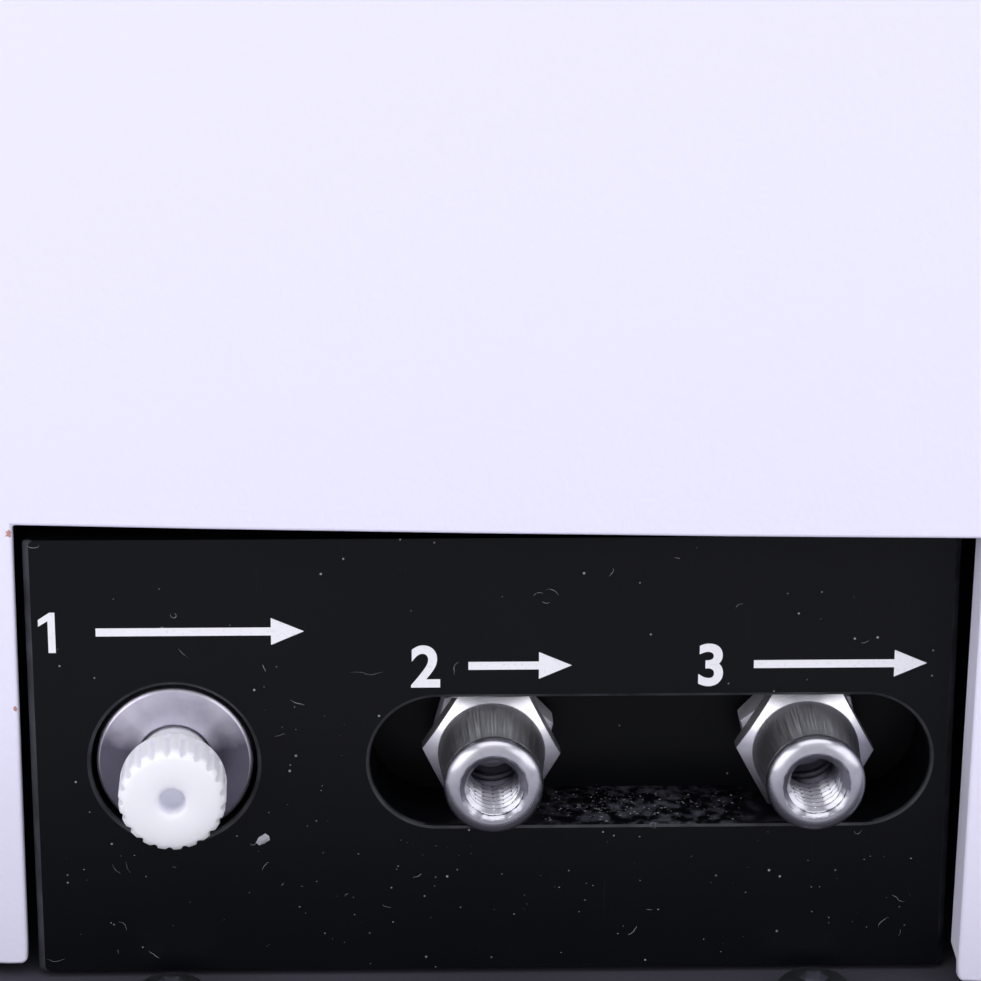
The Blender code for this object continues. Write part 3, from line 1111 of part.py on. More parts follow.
def control_panel():
    frame = pivot("panel_frame", (PANEL_X, CASE_FRONT + bow(PANEL_X), PANEL_Z), (OUTWARD[0], 0, bow_turn(PANEL_X)))
    front, back = PANEL_PROUD, PANEL_PROUD - PANEL_THICKNESS
    body = rounded_rectangle(PANEL_WIDTH, PANEL_HEIGHT, PANEL_CORNER)
    rim = rounded_rectangle(PANEL_WIDTH - PANEL_PROUD, PANEL_HEIGHT - PANEL_PROUD, PANEL_CORNER)
    bezel = piece("control_bezel", lofted_mesh(((back, body), (front - PANEL_PROUD / 2, body), (front, rim))),
                  BLACK_PLASTIC, parent=frame)
    glass = rounded_rectangle(DISPLAY_WIDTH, DISPLAY_HEIGHT, DISPLAY_CORNER)
    recess = rounded_rectangle(DISPLAY_WIDTH + 2 * TOUCH, DISPLAY_HEIGHT + 2 * TOUCH, DISPLAY_CORNER)
    cut(bezel, helper(bezel, prism_mesh(recess, front - DISPLAY_DEPTH - TOUCH, front + OVERRUN), (0, DISPLAY_RISE, 0),
                      parent=frame))
    piece("display_window", prism_mesh(glass, front - DISPLAY_DEPTH, front), SMOKED, (0, DISPLAY_RISE, 0),
          parent=frame)
    key = rounded_rectangle(KEY_WIDTH, KEY_HEIGHT, KEY_CORNER)
    soft = rounded_rectangle(KEY_WIDTH - KEY_PROUD / 2, KEY_HEIGHT - KEY_PROUD / 2, KEY_CORNER)
    hole = rounded_rectangle(KEY_WIDTH + 2 * RUNNING, KEY_HEIGHT + 2 * RUNNING, KEY_CORNER)
    tip = front + KEY_PROUD
    key_mesh = lofted_mesh(((back + KEY_TRAVEL, key), (tip - KEY_PROUD / 4, key), (tip, soft)))
    rows = ((-1, 0, "select_key"), (1, 0, "run_key"), (-1, 1, "down_key"), (1, 1, "up_key"))
    for side, row, name in rows:
        place = (side * KEY_SPREAD, KEY_TOP - row * KEY_PITCH, 0)
        cut(bezel, helper(bezel, prism_mesh(hole, back - OVERRUN, front + OVERRUN), place, parent=frame))
        piece(name, key_mesh, GREY_PLASTIC, place, parent=frame)


# Power switch: a rocker in a moulded housing, low on the right of the front

ROCKER_WIDTH = 19 * MM
ROCKER_HALF = 6 * MM
ROCKER_CREST = 2.6 * MM
ROCKER_VALLEY = 1.4 * MM
ROCKER_DEPTH = 3 * MM
ROCKER_SINK = 1 * MM
ROCKER_TILT = math.radians(7)
SWITCH_PROUD = 1.2 * MM
SWITCH_DEPTH = 16 * MM
SWITCH_FLOOR = 2 * MM
SWITCH_CLEAR = 1.2 * MM


def power_switch():
    frame = pivot("switch_frame", (SWITCH_X, CASE_FRONT + bow(SWITCH_X), SWITCH_Z),
                  (OUTWARD[0], 0, bow_turn(SWITCH_X)))
    body = rounded_rectangle(SWITCH_WIDTH, SWITCH_HEIGHT, SWITCH_CORNER)
    rim = rounded_rectangle(SWITCH_WIDTH - SWITCH_PROUD, SWITCH_HEIGHT - SWITCH_PROUD, SWITCH_CORNER)
    housing = piece("switch_housing", lofted_mesh(((SWITCH_PROUD - SWITCH_DEPTH, body), (SWITCH_PROUD / 2, body),
                                                   (SWITCH_PROUD, rim))), BLACK_PLASTIC, parent=frame)
    well_width, well_height = ROCKER_WIDTH + 2 * RUNNING, 2 * (ROCKER_HALF + SWITCH_CLEAR)
    hollow(housing, (-well_width / 2, -well_height / 2, SWITCH_FLOOR + SWITCH_PROUD - SWITCH_DEPTH),
           (well_width / 2, well_height / 2, SWITCH_PROUD + OVERRUN), frame)
    axle = pivot("rocker_axis", (0, 0, -ROCKER_SINK), (ROCKER_TILT, 0, 0), frame)
    side = [(-ROCKER_HALF, -ROCKER_DEPTH), (ROCKER_HALF, -ROCKER_DEPTH), (ROCKER_HALF, ROCKER_CREST),
            (0, ROCKER_VALLEY), (-ROCKER_HALF, ROCKER_CREST)]
    ends = [[(x, up, out) for up, out in side] for x in (-ROCKER_WIDTH / 2, ROCKER_WIDTH / 2)]
    piece("power_rocker", mesh_of(ringed(bmesh.new(), ends), "rocker"), BLACK_PLASTIC, parent=axle)


# The rear: a flat steel panel with a fan opening and a power inlet, closing the cover's open back

REAR_SHEET = 1.5 * MM
FAN_INSET = 80 * MM
FAN_X = CASE_WIDTH / 2 - FAN_INSET
FAN_Z = 196 * MM
FAN_SIDE = 80 * MM
FAN_DEPTH = 25 * MM
FAN_CORNER = 5 * MM
FAN_BORE = 38 * MM
FAN_HUB = 17 * MM
FAN_BLADES = 7
FAN_BLADE_ROOT = 13.6 * MM
FAN_BLADE_REACH = 36.8 * MM
FAN_BLADE_SHEET = 1.4 * MM
FAN_BLADE_WIDTH = 14 * MM
FAN_BLADE_PITCH = math.radians(38)
FAN_STRUT = 4 * MM
FAN_PLATE = 4 * MM
GUARD_WIRE = 1.6 * MM
GUARD_RINGS = 4
INLET_INSET = 60 * MM
INLET_X = INLET_INSET - CASE_WIDTH / 2
INLET_Z = 74 * MM
SOCKET_WIDTH = 24 * MM
SOCKET_HEIGHT = 16.5 * MM
SOCKET_DEPTH = 17 * MM
SOCKET_CORNER = 3 * MM
SOCKET_WALL = 2 * MM
SOCKET_FLANGE = 2.5 * MM
SOCKET_FLANGE_WIDTH = 50 * MM
SOCKET_FLANGE_HEIGHT = 22 * MM
CONTACT_WIDTH = 2 * MM
CONTACT_HEIGHT = 4 * MM
CONTACT_LENGTH = 12 * MM
CONTACT_SPREAD = 7 * MM
CONTACT_RISE = 2 * MM
INWARD = (math.radians(90), 0, math.radians(180))
REAR_FACE = CASE_BACK


def rear_panel():
    """The rear's own frame looks from behind: X to the instrument's left, Y up, Z out backwards."""
    half = CASE_WIDTH / 2 - SHEET - TOUCH
    bottom, top = LEDGE_TOP + TOUCH, TOTAL_HEIGHT - SHEET - TOUCH
    corner = TOP_ROUNDING - SHEET
    outline = ([(-half, bottom), (half, bottom)] + arc(half - corner, top - corner, corner, 0, 90, 3)
               + arc(corner - half, top - corner, corner, 90, 180, 3))
    panel = piece("rear_panel", prism_mesh(outline, -REAR_FACE, REAR_SHEET - REAR_FACE), GREY_PAINT, turn=OUTWARD)
    drill(panel, FAN_BORE, -OVERRUN, OVERRUN, (FAN_X, REAR_FACE, FAN_Z), INWARD, sides=MANY_SIDES)
    hole = rounded_rectangle(SOCKET_WIDTH + 2 * (SOCKET_WALL + TOUCH), SOCKET_HEIGHT + 2 * (SOCKET_WALL + TOUCH),
                             SOCKET_CORNER)
    cut(panel, helper(panel, prism_mesh(hole, -OVERRUN, OVERRUN), (INLET_X, REAR_FACE, INLET_Z), INWARD))
    return panel


def fan(panel):
    """The fan behind the rear panel, and the rings and bars of the guard that is welded into the panel."""
    inner = -REAR_SHEET - TOUCH
    frame = pivot("fan_frame_datum", (FAN_X, REAR_FACE, FAN_Z), INWARD)
    body = piece("fan_frame", prism_mesh(rounded_rectangle(FAN_SIDE, FAN_SIDE, FAN_CORNER, 2), inner - FAN_DEPTH,
                                         inner), BLACK_PLASTIC, parent=frame)
    drill(body, FAN_BORE, inner - FAN_DEPTH - OVERRUN, inner + OVERRUN, parent=frame, sides=MANY_SIDES)
    low = inner - FAN_DEPTH
    join(body, helper(body, rod_mesh(FAN_HUB, low, low + FAN_PLATE, 24), parent=frame))
    strut = block_mesh((FAN_HUB / 2, -FAN_STRUT / 2, low), (FAN_BORE + FAN_STRUT / 4, FAN_STRUT / 2, low + FAN_PLATE))
    for k in range(3):
        join(body, helper(body, strut, turn=(0, 0, math.radians(120 * k + 30)), parent=frame))
    spin = pivot("fan_axis", (0, 0, 0), parent=frame)
    start, end = low + FAN_PLATE + RUNNING, inner - RUNNING
    rotor = piece("fan_rotor", rod_mesh(FAN_HUB, start, end, 21), BLACK_PLASTIC, parent=spin)
    middle = (start + end) / 2
    blade = block_mesh((FAN_BLADE_ROOT, -FAN_BLADE_SHEET / 2, -FAN_BLADE_WIDTH / 2),
                       (FAN_BLADE_REACH, FAN_BLADE_SHEET / 2, FAN_BLADE_WIDTH / 2))
    for k in range(FAN_BLADES):
        turn = Matrix.Rotation(2 * math.pi * k / FAN_BLADES, 4, "Z") @ Matrix.Rotation(FAN_BLADE_PITCH, 4, "X")
        join(rotor, helper(rotor, blade, (0, 0, middle), turn.to_euler(), spin))
    low, high = -REAR_SHEET / 2, GUARD_WIRE - REAR_SHEET / 2
    outer = FAN_BORE + GUARD_WIRE
    bar = block_mesh((-outer, -GUARD_WIRE / 2, low), (outer, GUARD_WIRE / 2, high))
    for angle in (45, 135):
        join(panel, helper(panel, bar, turn=(0, 0, math.radians(angle)), parent=frame))
    for k in range(1, GUARD_RINGS):
        r = outer * k / GUARD_RINGS
        ring = turned_mesh([(r - GUARD_WIRE, low), (r, low), (r, high), (r - GUARD_WIRE, high)], 20, closed=True)
        join(panel, helper(panel, ring, parent=frame))


def power_inlet():
    frame = pivot("inlet_frame", (INLET_X, REAR_FACE, INLET_Z), INWARD)
    tub = rounded_rectangle(SOCKET_WIDTH + 2 * SOCKET_WALL, SOCKET_HEIGHT + 2 * SOCKET_WALL, SOCKET_CORNER)
    flange = rounded_rectangle(SOCKET_FLANGE_WIDTH, SOCKET_FLANGE_HEIGHT + 2 * SOCKET_WALL, SOCKET_CORNER)
    front = TOUCH + SOCKET_FLANGE
    floor = front - SOCKET_DEPTH
    body = piece("power_inlet", prism_mesh(tub, floor - SOCKET_WALL, TOUCH + SOCKET_FLANGE / 2), BLACK_PLASTIC,
                 parent=frame)
    join(body, helper(body, prism_mesh(flange, TOUCH, front), parent=frame))
    well = rounded_rectangle(SOCKET_WIDTH, SOCKET_HEIGHT, SOCKET_CORNER)
    cut(body, helper(body, prism_mesh(well, floor, front + OVERRUN), parent=frame))
    for x, y in ((-CONTACT_SPREAD, -CONTACT_RISE), (0, CONTACT_RISE), (CONTACT_SPREAD, -CONTACT_RISE)):
        contact = block_mesh((x - CONTACT_WIDTH / 2, y - CONTACT_HEIGHT / 2, floor - SOCKET_WALL / 2),
                             (x + CONTACT_WIDTH / 2, y + CONTACT_HEIGHT / 2, floor + CONTACT_LENGTH))
        join(body, helper(body, contact, parent=frame))


# Electronics on the base: a main board on standoffs and a power supply in its own case

SUPPLY_WIDTH = 100 * MM
SUPPLY_SIDE_INSET = 20 * MM
BOARD_SIDE_INSET = 30 * MM
BOARD_GAP = 30 * MM
BOARD_WIDTH = CASE_WIDTH - SUPPLY_WIDTH - SUPPLY_SIDE_INSET - BOARD_SIDE_INSET - BOARD_GAP
BOARD_DEPTH = 130 * MM
BOARD_BACK_INSET = 74 * MM
MAIN_BOARD_HIGH = (BOARD_SIDE_INSET + BOARD_WIDTH - CASE_WIDTH / 2, CASE_BACK - BOARD_BACK_INSET)
MAIN_BOARD_LOW = (BOARD_SIDE_INSET - CASE_WIDTH / 2, MAIN_BOARD_HIGH[1] - BOARD_DEPTH)
MAIN_BOARD_SHEET = 1.6 * MM
STANDOFF_RADIUS = 3 * MM
STANDOFF_HEIGHT = 8 * MM
STANDOFF_INSET = 6 * MM
CHIP_SIDE = 22 * MM
CHIP_HEIGHT = 3 * MM
CHIP_PLACE_SHARES = ((0.3, 0.35), (0.7, 0.35), (0.5, 0.7))
SUPPLY_DEPTH = 145 * MM
SUPPLY_BACK_INSET = 39 * MM
SUPPLY_HIGH = (CASE_WIDTH / 2 - SUPPLY_SIDE_INSET, CASE_BACK - SUPPLY_BACK_INSET)
SUPPLY_LOW = (SUPPLY_HIGH[0] - SUPPLY_WIDTH, SUPPLY_HIGH[1] - SUPPLY_DEPTH)
SUPPLY_HEIGHT = 48 * MM
SUPPLY_EDGE = 2 * MM


def electronics():
    seat = LEDGE_TOP + TOUCH
    low, high = MAIN_BOARD_LOW, MAIN_BOARD_HIGH
    board_low = seat + STANDOFF_HEIGHT
    board_high = board_low + MAIN_BOARD_SHEET
    board = piece("main_board", block_mesh((*low, board_low), (*high, board_high)), BOARD)
    for x in (low[0] + STANDOFF_INSET, high[0] - STANDOFF_INSET):
        for y in (low[1] + STANDOFF_INSET, high[1] - STANDOFF_INSET):
            join(board, helper(board, rod_mesh(STANDOFF_RADIUS, seat, board_low + TOUCH, 12), (x, y, 0)))
    for share_x, share_y in CHIP_PLACE_SHARES:
        x = low[0] + (high[0] - low[0]) * share_x
        y = low[1] + (high[1] - low[1]) * share_y
        chip = block_mesh((x - CHIP_SIDE / 2, y - CHIP_SIDE / 2, board_low + TOUCH),
                          (x + CHIP_SIDE / 2, y + CHIP_SIDE / 2, board_high + CHIP_HEIGHT))
        join(board, helper(board, chip))
    edges = (("left", "top"), ("right", "top"), ("front", "top"), ("back", "top"))
    piece("power_supply", block_mesh((*SUPPLY_LOW, seat), (*SUPPLY_HIGH, seat + SUPPLY_HEIGHT), edges, SUPPLY_EDGE, 1),
          ZINC)


PAN = base_pan()
rubber_feet()
port_block()
port_bracket()
ledge_screws(PAN)
solvent_port()
union("inlet_union", 0, INLET_TURN)
union("outlet_union", PORT_PITCH, OUTLET_TURN)
jam_nut("inlet_jam_nut", 0, INLET_JAM_TURN)
jam_nut("outlet_jam_nut", PORT_PITCH, OUTLET_JAM_TURN)
cover()
chassis()
sample_chamber()
door()
carousel()
needle_drive()
needle_seats()
stepper_motors()
valve()
syringe()
control_panel()
power_switch()
fan(rear_panel())
power_inlet()
electronics()
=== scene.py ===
import json
import random
from math import asin, atan2, cos, hypot, pi, radians, sin, sqrt

import bmesh
import bpy
from mathutils import Matrix, Vector

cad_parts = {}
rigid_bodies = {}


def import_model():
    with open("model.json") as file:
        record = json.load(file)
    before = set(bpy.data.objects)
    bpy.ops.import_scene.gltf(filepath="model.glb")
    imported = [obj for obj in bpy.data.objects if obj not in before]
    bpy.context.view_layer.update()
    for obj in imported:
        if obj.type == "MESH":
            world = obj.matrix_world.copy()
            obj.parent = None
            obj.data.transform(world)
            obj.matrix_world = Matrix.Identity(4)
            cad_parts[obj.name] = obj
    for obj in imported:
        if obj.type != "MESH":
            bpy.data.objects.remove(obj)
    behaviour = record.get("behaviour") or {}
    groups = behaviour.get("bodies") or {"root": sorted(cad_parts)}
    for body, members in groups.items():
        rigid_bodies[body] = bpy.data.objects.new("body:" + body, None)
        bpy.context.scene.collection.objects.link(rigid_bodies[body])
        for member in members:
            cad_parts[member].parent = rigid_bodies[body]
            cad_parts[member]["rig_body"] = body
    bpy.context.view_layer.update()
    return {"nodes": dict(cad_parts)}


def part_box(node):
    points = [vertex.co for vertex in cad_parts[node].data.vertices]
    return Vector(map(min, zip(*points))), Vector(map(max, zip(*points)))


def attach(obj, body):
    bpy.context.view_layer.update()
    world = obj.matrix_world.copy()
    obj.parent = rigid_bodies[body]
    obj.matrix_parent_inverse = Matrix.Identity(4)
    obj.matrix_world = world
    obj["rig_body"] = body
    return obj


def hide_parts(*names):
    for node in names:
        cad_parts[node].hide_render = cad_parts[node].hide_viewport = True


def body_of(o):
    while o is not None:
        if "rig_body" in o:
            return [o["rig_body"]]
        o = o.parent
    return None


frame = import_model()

MM = 0.001


# The base is a pan of folded sheet steel, turned upside down, and its flat top is the ledge in front.
# It is powder coated dark grey: a dull, slightly pebbled film that hides the steel and rounds its edges.
def linear(code):
    """Turns an sRGB hex colour to linear light."""
    parts = [int(code[i:i + 2], 16) / 255 for i in (0, 2, 4)]
    return tuple(p / 12.92 if p <= 0.04045 else ((p + 0.055) / 1.055) ** 2.4 for p in parts) + (1,)


def feed(node, inputs):
    """Sets a node's inputs; one that is given a socket, or a node with its first output in use, is linked."""
    for name, value in inputs.items():
        if isinstance(value, bpy.types.Node):
            value = next(socket for socket in value.outputs if socket.enabled)
        if isinstance(value, bpy.types.NodeSocket):
            node.id_data.links.new(value, node.inputs[name])
        else:
            node.inputs[name].default_value = value


def add(shader, kind, inputs=None, **settings):
    """Adds a node with its settings and links to a shader's tree."""
    made = shader.id_data.nodes.new("ShaderNode" + kind)
    for name, value in settings.items():
        setattr(made, name, value)
    feed(made, inputs or {})
    return made


def material(name, slot, colour, **sockets):
    """Makes a material with one Principled shader and returns both; the slot argument is not used."""
    made = bpy.data.materials.new(name)
    made.use_nodes = True
    shader = made.node_tree.nodes["Principled BSDF"]
    feed(shader, {"Base Color": linear(colour)})
    feed(shader, {socket.replace("_", " "): value for socket, value in sockets.items()})
    return made, shader


def place_of(shader):
    """The object coordinates in a shader's tree."""
    found = [node for node in shader.id_data.nodes if node.type == "TEX_COORD"]
    return (found[0] if found else add(shader, "TexCoord")).outputs["Object"]


def raised(shader, height, depth, strength):
    """Bumps a surface by a height pattern, to a depth in millimetres."""
    bump = add(shader, "Bump", {"Height": height, "Distance": depth * MM, "Strength": strength})
    feed(shader, {"Normal": bump})


def tinted(shader, share, *tones):
    """Lays the last tone by a pattern's share over the first one, or over what is there already."""
    base = shader.inputs["Base Color"]
    under = base.links[0].from_socket if base.links else linear(tones[0])
    mixed = add(shader, "Mix", {0: share, 6: under, 7: linear(tones[-1])}, data_type="RGBA")
    feed(shader, {"Base Color": mixed})


def mottled(shader, size, detail=2.0, tones=(), depth=0.0, strength=1.0, span=()):
    """Cloudy spots, their size in millimetres, blend two tones, raise the surface, or both."""
    spots = add(shader, "TexNoise", {"Vector": place_of(shader), "Scale": 1 / (size * MM), "Detail": detail})
    if depth:
        raised(shader, spots, depth, strength)
    if span:
        low, high, most = span
        spots = add(shader, "MapRange", {"Value": spots, "From Min": low, "From Max": high, "To Max": most})
    if tones:
        tinted(shader, spots, *tones)
    return spots


def placed(name, data):
    """A new object in the scene."""
    made = bpy.data.objects.new(name, data)
    bpy.context.scene.collection.objects.link(made)
    return made


def piece(name, mesh, finish, body="root", stands_for=(), matrix=None, smooth=35):
    """Puts a mesh on a CAD body, smooth up to an angle, in the place of the CAD nodes that it stands for."""
    made = placed(name, mesh)
    mesh.materials.clear()
    mesh.materials.append(finish)
    mesh.shade_smooth()
    mesh.set_sharp_from_angle(angle=radians(smooth))
    if matrix:
        made.matrix_world = matrix
    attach(made, body)
    if stands_for:
        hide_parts(*stands_for)
    return made


def ease(made, width, segments=3, sharp=30):
    """Rounds a piece's edges that are sharper than an angle, to a width in millimetres."""
    bevel = made.modifiers.new("eased_edges", "BEVEL")
    bevel.limit_method = "ANGLE"
    bevel.angle_limit = radians(sharp)
    bevel.width = width * MM
    bevel.segments = segments
    bevel.use_clamp_overlap = False
    bevel.harden_normals = True


WELD, FLAT = 0.002, 0.1


def refined(name, node, finish, edge, segments=2, smooth=25):
    """Stands for a CAD node in the node's own form, with joined faces and eased edges."""
    form = bmesh.new()
    form.from_mesh(frame["nodes"][node].data)
    bmesh.ops.remove_doubles(form, verts=form.verts, dist=WELD * MM)
    bmesh.ops.dissolve_limit(form, angle_limit=radians(FLAT), verts=form.verts, edges=form.edges)
    mesh = bpy.data.meshes.new(name)
    form.to_mesh(mesh)
    form.free()
    made = piece(name, mesh, finish, body_of(frame["nodes"][node])[0], [node], smooth=smooth)
    if edge:
        ease(made, edge, segments)
    return made


grey_coat, shader = material("powder_coated_steel_grey", "grey_paint", "42414B", Roughness=0.42, IOR=1.5)
mottled(shader, 0.6, depth=0.05, strength=0.5)
mottled(shader, 14, 4, ("3E3D46", "4B4A55"))
refined("base_pan_sheet", "base_pan", grey_coat, 0.5)
refined("rear_panel_sheet", "rear_panel", grey_coat, 0.25)


# The feet are moulded in black rubber, and are pressed into the pan's corners.
# The rubber is dull, and dust clings to it in pale patches.
rubber, shader = material("moulded_rubber_black", "rubber", "1B1B1D", Roughness=0.75, IOR=1.5)
mottled(shader, 3, 6, ("1B1B1D", "3A3938"), 0.1, 0.3, (0.45, 0.8, 1))
for corner in ("front_left", "front_right", "rear_left", "rear_right"):
    refined("foot_pad_" + corner, "foot_" + corner, rubber, 0.4)


# The chassis is a table of bare sheet steel inside the case, and the power supply has a case of the same.
# Both are zinc plated, which is bright, with a faint spangle from patch to patch.
zinc, shader = material("zinc_plated_steel", "zinc_plate", "C4C8CE", Metallic=1.0, Roughness=0.3)
spangle = add(shader, "TexVoronoi", {"Vector": place_of(shader), "Scale": 1 / (6 * MM)}).outputs["Color"]
tone = add(shader, "MapRange", {"Value": spangle, "To Min": 0.24, "To Max": 0.42})
feed(shader, {"Roughness": tone})
tinted(shader, add(shader, "SeparateColor", {"Color": spangle}).outputs["Red"], "B9BEC6", "D2D4D6")
refined("chassis_table", "chassis", zinc, 0.25)
refined("power_supply_case", "power_supply", zinc, 0.4)


# The port block is milled from aluminium, with a slot-shaped pocket and a round counterbore, and anodised
# black: a satin, bluish black on which dust, lint and fine scratches show up pale.
low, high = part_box("inlet_union")
axis = (low + high) / 2
PORTS = Matrix.Translation((axis.x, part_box("port_block")[0].y, axis.z)) @ Matrix.Rotation(pi / 2, 4, "X")
PORT_SPACING = 25.4
TOUCHING = 0.0005


def shift(x=0, y=0, z=0):
    """A move by millimetres."""
    return Matrix.Translation((x * MM, y * MM, z * MM))


def skinned(name, rings, loop=False):
    """Skins rings of points in millimetres one after another; an open stack is capped at both ends."""
    count = len(rings[0])
    faces = []
    for i in range(len(rings) if loop else len(rings) - 1):
        a, b = i * count, (i + 1) % len(rings) * count
        faces += [(a + j, a + (j + 1) % count, b + (j + 1) % count, b + j) for j in range(count)]
    if not loop:
        faces += [tuple(range(count))[::-1], tuple(range(len(rings) * count - count, len(rings) * count))]
    mesh = bpy.data.meshes.new(name)
    mesh.from_pydata([tuple(c * MM for c in point) for ring in rings for point in ring], [], faces)
    form = bmesh.new()
    form.from_mesh(mesh)
    bmesh.ops.remove_doubles(form, verts=form.verts, dist=TOUCHING * MM)
    bmesh.ops.recalc_face_normals(form, faces=form.faces)
    form.to_mesh(mesh)
    form.free()
    return mesh


def outline(width, height, corner, x=0, y=0, steps=16):
    """The points of a rounded rectangle, anticlockwise."""
    points = []
    for turn, (side, up) in enumerate(((1, 1), (-1, 1), (-1, -1), (1, -1))):
        for i in range(steps + 1):
            angle = (turn + i / steps) * pi / 2
            points.append((x + side * (width / 2 - corner) + corner * cos(angle),
                           y + up * (height / 2 - corner) + corner * sin(angle)))
    return points


def stacked(name, *levels):
    """Skins plan outlines, each at its own height."""
    return skinned(name, [[(x, y, z) for x, y in points] for points, z in levels])


def baked(made):
    """The mesh of a piece with its modifiers in it."""
    return bpy.data.meshes.new_from_object(made.evaluated_get(bpy.context.evaluated_depsgraph_get()))


def cut(mesh, *tools):
    """Takes other meshes away from a mesh with exact Booleans."""
    made = placed("blank", mesh)
    others = [placed("tool", tool) for tool in tools]
    for other in others:
        boolean = made.modifiers.new("cut", "BOOLEAN")
        boolean.object = other
        boolean.solver = "EXACT"
    bpy.context.view_layer.update()
    result = baked(made)
    for spent in [made] + others:
        bpy.data.objects.remove(spent)
    return result


anodised, shader = material("black_anodised_aluminium", "black_anodised", "17191E", Roughness=0.4, IOR=1.6,
                            Specular_IOR_Level=0.1)
mottled(shader, 0.35, 3, depth=0.02, strength=0.35)
mottled(shader, 9, 5, ("04060A", "0A0B11"))
# Fine scratches run in three directions, and specks of dust of two sizes lie between them.
for angle, seed in ((0.5, 3.0), (-0.9, 8.0), (1.45, 14.0)):
    laid = add(shader, "Mapping", {"Vector": place_of(shader), "Rotation": (0, 0, angle),
                                   "Location": (seed * MM, 0, 0),
                                   "Scale": (1 / (0.16 * MM), 1 / (14 * MM), 1)})
    lines = add(shader, "TexNoise", {"Vector": laid, "Scale": 1.0, "Detail": 1.0})
    scratches = add(shader, "MapRange", {"Value": lines, "From Min": 0.78, "From Max": 0.88,
                                         "To Max": 0.12})
    tinted(shader, scratches, "4A4B55")
for spacing, size in ((0.9, 0.13), (2.6, 0.06)):
    cells = add(shader, "TexVoronoi", {"Vector": place_of(shader), "Scale": 1 / (spacing * MM)})
    chance = add(shader, "SeparateColor", {"Color": cells.outputs["Color"]}).outputs["Red"]
    reach = add(shader, "MapRange", {"Value": chance, "From Min": 0.75, "To Min": 0.0, "To Max": size})
    grain = add(shader, "Math", {0: reach, 1: cells.outputs["Distance"]}, operation="SUBTRACT")
    speck = add(shader, "MapRange", {"Value": grain, "From Max": 0.04, "To Max": 0.6})
    tinted(shader, speck, "B9BAC4")

# Along the broken edges the anodising is thin and worn, and these edges are also painted a paler grey: a
# painted highlight that shows as a paler grey line.
worn_edge_and_painted_highlight, shader = material("worn_anodised_edge_painted_highlight", "black_anodised", "17181C", Roughness=0.45, IOR=1.6,
                          Specular_IOR_Level=0.3)
mottled(shader, 2.5, 5, ("1A1B20", "3A3B42"), span=(0.35, 0.7, 1))

# Fine dust has settled between the unions on the pocket's floor, in a thin smeared film that fades out.
dusty, shader = material("dusty_black_anodising", "black_anodised", "0A0B11", Roughness=0.4, IOR=1.6,
                         Specular_IOR_Level=0.1)
film = mottled(shader, 1, 7, span=(0.45, 0.7, 1))
along = add(shader, "SeparateXYZ", {"Vector": place_of(shader)}).outputs["X"]
for clear, full in ((2, 9), (23, 16)):
    fade = add(shader, "MapRange", {"Value": along, "From Min": clear * MM, "From Max": full * MM})
    film = add(shader, "Math", {0: film, 1: fade}, operation="MULTIPLY")
tinted(shader, film, "07080C", "5A5A66")

# The front's chamfer is full at the sides, half as wide below, and there is none along the top.
BLOCK_DEPTH, CHAMFER, BROKEN = 9.6, 0.55, 0.3
WIDTH, HEIGHT, ASIDE, RISE, CORNER = 73.95, 37.1, 0.08, 0.25, 0.5
plate = stacked("block", *(
    (outline(WIDTH - 2 * inset, HEIGHT - inset / 2, CORNER, ASIDE, RISE + inset / 4), z)
    for inset, z in ((0, -BLOCK_DEPTH), (0, -1.3 * CHAMFER), (0.25 * CHAMFER, -0.8 * CHAMFER), (CHAMFER, 0))))


def rimmed(name, width, height, x, depth):
    """A cutter for a round or slot-shaped hole with a broken edge in the front face."""
    return stacked(name, *(
        (outline(width + 2 * spread, height + 2 * spread, height / 2 + spread, x, 0, 32), z)
        for spread, z in ((0, -depth), (0, -BROKEN), (0.3 * BROKEN, -0.3 * BROKEN),
                          (1.7 * BROKEN, 0.3 * BROKEN), (1.7 * BROKEN, BLOCK_DEPTH))))


pocket = rimmed("pocket", 45, 10.9, PORT_SPACING / 2, 8)
bore = rimmed("counterbore", 13.3, 13.3, -PORT_SPACING, 5.2)
stems = []
for port in (-1, 0, 1):
    hole = outline(8.4, 8.4, 4.2, port * PORT_SPACING)
    stems.append(stacked("stem_hole", (hole, -2 * BLOCK_DEPTH), (hole, BLOCK_DEPTH)))
block = piece("port_block_plate", cut(plate, pocket, bore, *stems), anodised,
              stands_for=["port_block"], matrix=PORTS, smooth=20)
block.data.materials.append(worn_edge_and_painted_highlight)
block.data.materials.append(dusty)
for polygon in block.data.polygons:
    spot, out = polygon.center / MM, polygon.normal
    in_pocket = spot.x > -15 and abs(spot.y) < 6
    polygon.material_index = 2 if out.y > 0.9 and in_pocket else int(0.3 < out.z < 0.95)
refined("port_bracket_sheet", "port_bracket", anodised, 0.25)


# The solvent coupling is turned from stainless steel and stands in the counterbore, its faced end outwards.
# Facing leaves fine rings, which draw the light out into a bright fan above and dark sectors at the sides;
# painted shade darkens those side sectors further.
def turns_of(count, start=0.0):
    """Even angles round a circle."""
    return [start + 2 * pi * j / count for j in range(count)]


def around(rows, turns):
    """Rings about the axis; a row is one pair of radius and height, or a list with a pair for each turn."""
    pairs = [row if isinstance(row, list) else [row] * len(turns) for row in rows]
    return [[(r * cos(a), r * sin(a), z) for (r, z), a in zip(row, turns)] for row in pairs]


def turned(name, profile, sides=96, loop=True):
    """Turns a profile of radius and height about the axis."""
    return skinned(name, around(profile, turns_of(sides)), loop)


